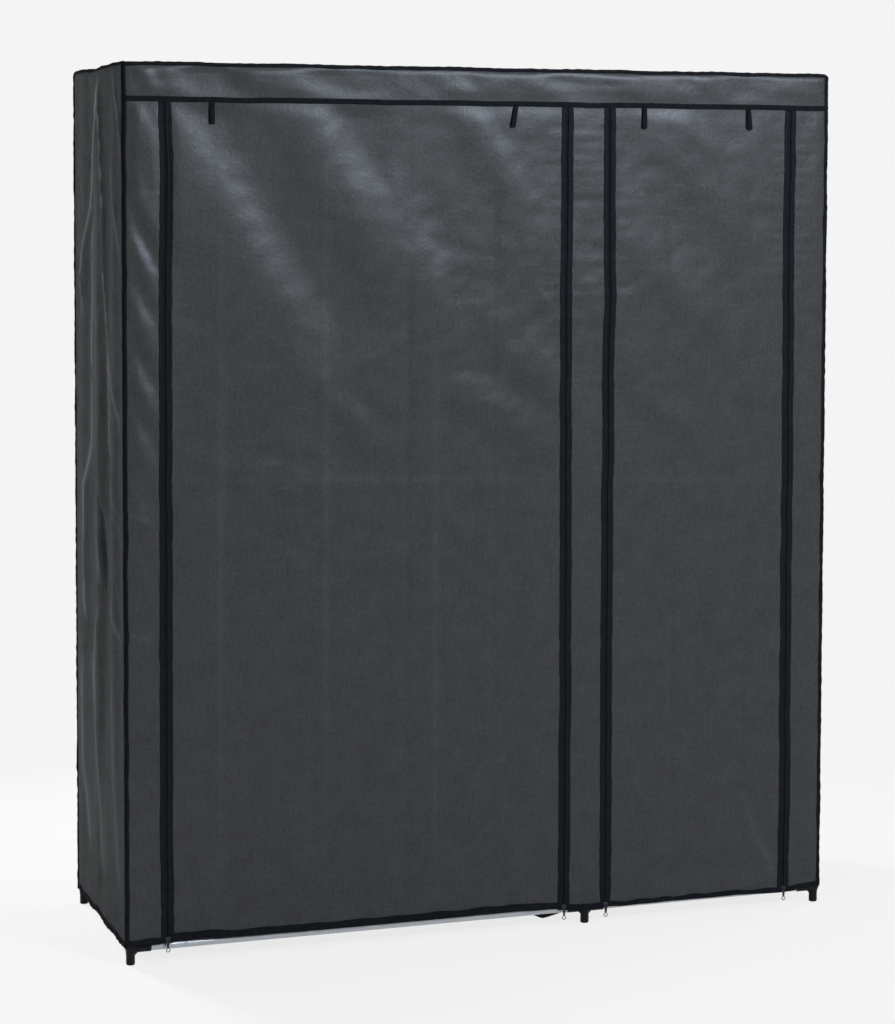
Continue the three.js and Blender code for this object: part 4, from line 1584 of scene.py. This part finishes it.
class WARDROBE_OT_hems(bpy.types.Operator):
    """Black tape round the lower edges of the walls and the doors"""

    bl_idname = "wardrobe.hems"
    bl_label = "Hems"

    def execute(self, context):
        for index, (name, (start, end)) in enumerate(FRONT_SPANS.items()):
            start += HEM_INSET if name != FRONT_PARTS[0] else 0.0
            end -= HEM_INSET if name != FRONT_PARTS[-1] else 0.0
            seed, share = 201 + index, HEM_SHARES[name]
            piece = hem_strip(f"{name}_hem", (start, end), front_hem, on_front, seed, share=share)
            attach(piece, f"{name}_strip_{STRIP_COUNT}" if name in DOORS else BODY)
        for side, seed in (("left", 211), ("right", 221)):
            def place_side(v, z, stand, side=side):
                return on_side(side, v, z, stand)

            def side_hem(v, seed=seed):
                return SIDE_HEM + 0.0016 * wavering(v, seed, 0.08, 0.22)

            piece = hem_strip(f"{side}_wall_hem", (FRONT_Y, BACK_Y), side_hem, place_side, 231)
            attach(piece, BODY)

        def back_hem(v):
            return BACK_HEM + 0.0014 * wavering(v, 241, 0.08, 0.30)

        piece = hem_strip("back_wall_hem", (SIDE_X["left"], SIDE_X["right"]), back_hem, on_back, 251)
        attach(piece, BODY)
        return {"FINISHED"}


# Tie loops: place along the seam, sideways lean of the whole loop, and how far its two layers part
TIE_LOOPS = (
    ("left_door", "left", -0.572, 0.000, 0.0016),
    ("left_door", "right", 0.0505, -0.0075, 0.0020),
    ("right_door", "left", 0.3290, -0.0010, 0.0022),
    ("right_door", "right", 0.5615, 0.0010, 0.0045),
)
LOOP_FRONT = 0.0040  # how far a loop's two layers stand off the cloth
LOOP_BACK = 0.0016
LOOP_THICKNESS = 0.0007
LOOP_GRID = (0.0012, 0.0012)
LOOP_START = 0.004  # below the header seam
FIRST_FOLD = fold_heights("left_door")[0]
LOOP_MEETS = 2 * FIRST_FOLD - SEAM_Z + 0.025  # the cloth at this height lies before the folded-up loops


class WARDROBE_OT_tie_loops(bpy.types.Operator):
    """Folded ribbon loops on the header seam that hold a door when it is up"""

    bl_idname = "wardrobe.tie_loops"
    bl_label = "Tie loops"

    def execute(self, context):
        trim = context.scene.wardrobe_trim
        length, half = trim.loop_length, trim.loop_width / 2
        bend = (LOOP_FRONT - LOOP_BACK) / 2
        route = length * 2 + math.pi * bend
        for door, side, x, lean, parting in TIE_LOOPS:
            def place(u, v, x=x, lean=lean, parting=parting):
                down = np.clip(v / length, 0, 1)
                up = np.clip((v - length - math.pi * bend) / length, 0, 1)
                turn = np.clip((v - length) / bend, 0, math.pi)
                depth = down - up
                stand = LOOP_FRONT - bend * (1 - np.cos(turn)) + 0.0006 * np.sin(math.pi * depth)
                z = SEAM_Z - LOOP_START - length * depth - bend * np.sin(turn)
                layer = np.where(v < route / 2, 1.0, -1.0) * (0.25 + 0.75 * depth)
                layer = layer * np.where((turn > 0) & (turn < math.pi), np.cos(turn), 1.0)
                narrow = 1 - 0.12 * (1 - depth)
                px = x + u * narrow + lean * depth + parting * layer * HALF
                return on_front(px, z, stand)

            piece = sheet(
                f"{door}_{side}_tie_loop", (-half, half), (0.0, route), LOOP_GRID, place, LOOP_THICKNESS,
                "binding_tape",
            )
            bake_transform(piece)
        return {"FINISHED"}


FLAP_SPAN = (0.099, 0.170)
FLAP_HEIGHT = 0.012
FLAP_BELLY = 0.0105
FLAP_LOWEST = 0.32  # share of the flap's length at which it hangs lowest


class WARDROBE_OT_slack_flap(bpy.types.Operator):
    """Slack end of the hem tape that hangs below the front bar beside the middle foot"""

    bl_idname = "wardrobe.slack_flap"
    bl_label = "Slack flap"

    def execute(self, context):
        def place(u, v):
            share = (v - FLAP_SPAN[0]) / (FLAP_SPAN[1] - FLAP_SPAN[0])
            down = u / FLAP_HEIGHT
            belly = FLAP_BELLY * np.interp(share, (0.0, FLAP_LOWEST, 1.0), (0.0, 1.0, 0.0)) ** 0.85
            y = POST_Y["front"] + 0.002 * down + 0.0008 * np.sin(9 * share)
            return np.column_stack([v, y, BAR_Z["bottom"] - 0.007 - down * belly])

        across, grid = (0.0, FLAP_HEIGHT), (0.002, 0.004)
        piece = sheet("slack_flap", across, FLAP_SPAN, grid, place, 0.0012, "binding_tape")
        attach(piece, BODY)
        return {"FINISHED"}


# Stage
DAYLIGHT = (0.98, 0.99, 1.0)
LAMPS = {  # place, target, size and colour
    "key": ((1.5, -3.6, 2.9), (0.0, -0.2, 1.2), (0.9, 0.6), (0.80, 0.89, 1.0)),
    "fill": ((-1.9, 2.9, 1.5), (-0.7, 0.0, 0.9), (0.7, 1.8), DAYLIGHT),
    "top": ((0.2, 0.0, 4.4), (0.0, 0.0, 1.75), (1.6, 0.36), DAYLIGHT),
    "right": ((3.4, 1.2, 1.5), (0.75, 0.0, 0.9), (0.7, 1.8), DAYLIGHT),
}
FLOOR_SIZE = 30.0
GLOW_AT_FEET = 0.88  # share of the floor that glows there, while the rest is matte and takes the shadow
GLOW_FROM, GLOW_WHOLE = 0.7, 1.7  # distances from the middle over which that share grows to 1
SKY_COLOUR = (0.93, 0.96, 1.0, 1.0)


def lamp(name, power, place, target, size, colour):
    light = bpy.data.lights.new(name, "AREA")
    light.shape = "RECTANGLE"
    light.size, light.size_y = size
    light.energy = power
    light.color = colour
    holder = bpy.data.objects.new(name, light)
    bpy.context.scene.collection.objects.link(holder)
    holder.location = place
    holder.rotation_euler = (Vector(target) - Vector(place)).to_track_quat("-Z", "Y").to_euler()


def seen_directly(material):
    """1 for the camera, mirrors and glass, 0 for the light that falls on the object."""
    path = add_node(material, "ShaderNodeLightPath").outputs
    seen = calculated(material, "MAXIMUM", path["Is Camera Ray"], path["Is Glossy Ray"])
    return calculated(material, "MAXIMUM", seen, path["Is Transmission Ray"])


class WARDROBE_OT_stage(bpy.types.Operator):
    """Pale floor, soft studio light and the camera"""

    bl_idname = "wardrobe.stage"
    bl_label = "Stage"

    def execute(self, context):
        scene = context.scene
        stage = scene.wardrobe_stage
        scene.view_settings.view_transform = "Standard"
        self.floor(stage)
        self.sky(scene, stage)
        for name, settings in LAMPS.items():
            lamp(f"{name}_light", getattr(stage, f"{name}_power"), *settings)
        self.camera(scene, stage)
        return {"FINISHED"}

    def floor(self, stage):
        bm = bmesh.new()
        bmesh.ops.create_grid(bm, x_segments=2, y_segments=2, size=FLOOR_SIZE)
        mesh = bpy.data.meshes.new("floor")
        bm.to_mesh(mesh)
        bm.free()
        floor = bpy.data.objects.new("floor", mesh)
        bpy.context.scene.collection.objects.link(floor)
        material = bpy.data.materials.new("pale_floor")
        material.use_nodes = True
        tree = material.node_tree
        tree.nodes.clear()
        backdrop = (*stage.backdrop, 1.0)
        matte = add_node(material, "ShaderNodeBsdfDiffuse", {"Color": backdrop})
        glow = add_node(material, "ShaderNodeEmission", {"Color": backdrop, "Strength": 1.0})
        distance = add_node(
            material, "ShaderNodeVectorMath", {0: object_coordinates(material)}, operation="LENGTH",
        ).outputs["Value"]
        glowing = ranged(material, distance, GLOW_FROM, GLOW_WHOLE, GLOW_AT_FEET, 1.0)
        share = calculated(material, "MULTIPLY", seen_directly(material), glowing)
        mixed = add_node(
            material, "ShaderNodeMixShader", {0: share, 1: matte.outputs[0], 2: glow.outputs[0]},
        )
        output = tree.nodes.new("ShaderNodeOutputMaterial")
        tree.links.new(mixed.outputs[0], output.inputs["Surface"])
        mesh.materials.append(material)

    def sky(self, scene, stage):
        world = bpy.data.worlds.new("studio")
        scene.world = world
        world.use_nodes = True
        tree = world.node_tree
        tree.nodes.clear()
        backdrop = (*stage.backdrop, 1.0)
        light = add_node(world, "ShaderNodeBackground", {"Color": SKY_COLOUR, "Strength": stage.sky})
        seen = add_node(world, "ShaderNodeBackground", {"Color": backdrop, "Strength": 1.0})
        mixed = add_node(
            world, "ShaderNodeMixShader",
            {0: seen_directly(world), 1: light.outputs[0], 2: seen.outputs[0]},
        )
        output = tree.nodes.new("ShaderNodeOutputWorld")
        tree.links.new(mixed.outputs[0], output.inputs["Surface"])

    def camera(self, scene, stage):
        yaw, pitch, roll = stage.camera_yaw, stage.camera_pitch, stage.camera_roll
        ahead = Vector((math.sin(yaw) * math.cos(pitch), math.cos(yaw) * math.cos(pitch), math.sin(pitch)))
        level = Vector((math.cos(yaw), -math.sin(yaw), 0.0))
        right = level * math.cos(roll) + level.cross(ahead) * math.sin(roll)
        up = right.cross(ahead)
        data = bpy.data.cameras.new("camera")
        data.lens = stage.lens
        data.sensor_width = 36.0
        data.shift_y = stage.shift
        data.clip_end = 100.0
        camera = bpy.data.objects.new("camera", data)
        scene.collection.objects.link(camera)
        axes = Matrix((right, up, -ahead)).transposed().to_4x4()
        camera.matrix_world = Matrix.Translation(stage.camera_place) @ axes
        scene.camera = camera


class WARDROBE_PT_panel(bpy.types.Panel):
    """Lists the wardrobe's pieces"""

    bl_label = "Wardrobe"
    bl_idname = "WARDROBE_PT_panel"
    bl_space_type = "VIEW_3D"
    bl_region_type = "UI"
    bl_category = "Wardrobe"

    def draw(self, context):
        for operator in OPERATORS:
            self.layout.operator(operator.bl_idname)


SETTINGS = {
    "wardrobe_cloth": ClothSettings,
    "wardrobe_trim": TrimSettings,
    "wardrobe_frame": FrameSettings,
    "wardrobe_stage": StageSettings,
}
OPERATORS = (
    WARDROBE_OT_stage,
    WARDROBE_OT_tubes,
    WARDROBE_OT_connectors,
    WARDROBE_OT_clothes_rail,
    WARDROBE_OT_shelves,
    WARDROBE_OT_side_walls,
    WARDROBE_OT_back_wall,
    WARDROBE_OT_top_wall,
    WARDROBE_OT_front_panels,
    WARDROBE_OT_doors,
    WARDROBE_OT_zips,
    WARDROBE_OT_sliders,
    WARDROBE_OT_edge_bindings,
    WARDROBE_OT_header_binding,
    WARDROBE_OT_hems,
    WARDROBE_OT_tie_loops,
    WARDROBE_OT_slack_flap,
)


def register():
    for kind in (*SETTINGS.values(), *OPERATORS, WARDROBE_PT_panel):
        bpy.utils.register_class(kind)
    for name, kind in SETTINGS.items():
        setattr(bpy.types.Scene, name, PointerProperty(type=kind))


def unregister():
    for name in SETTINGS:
        delattr(bpy.types.Scene, name)
    for kind in reversed((*SETTINGS.values(), *OPERATORS, WARDROBE_PT_panel)):
        bpy.utils.unregister_class(kind)


def main():
    register()
    for operator in OPERATORS:
        group, name = operator.bl_idname.split(".")
        getattr(getattr(bpy.ops, group), name)()


if __name__ == "__main__":
    main()
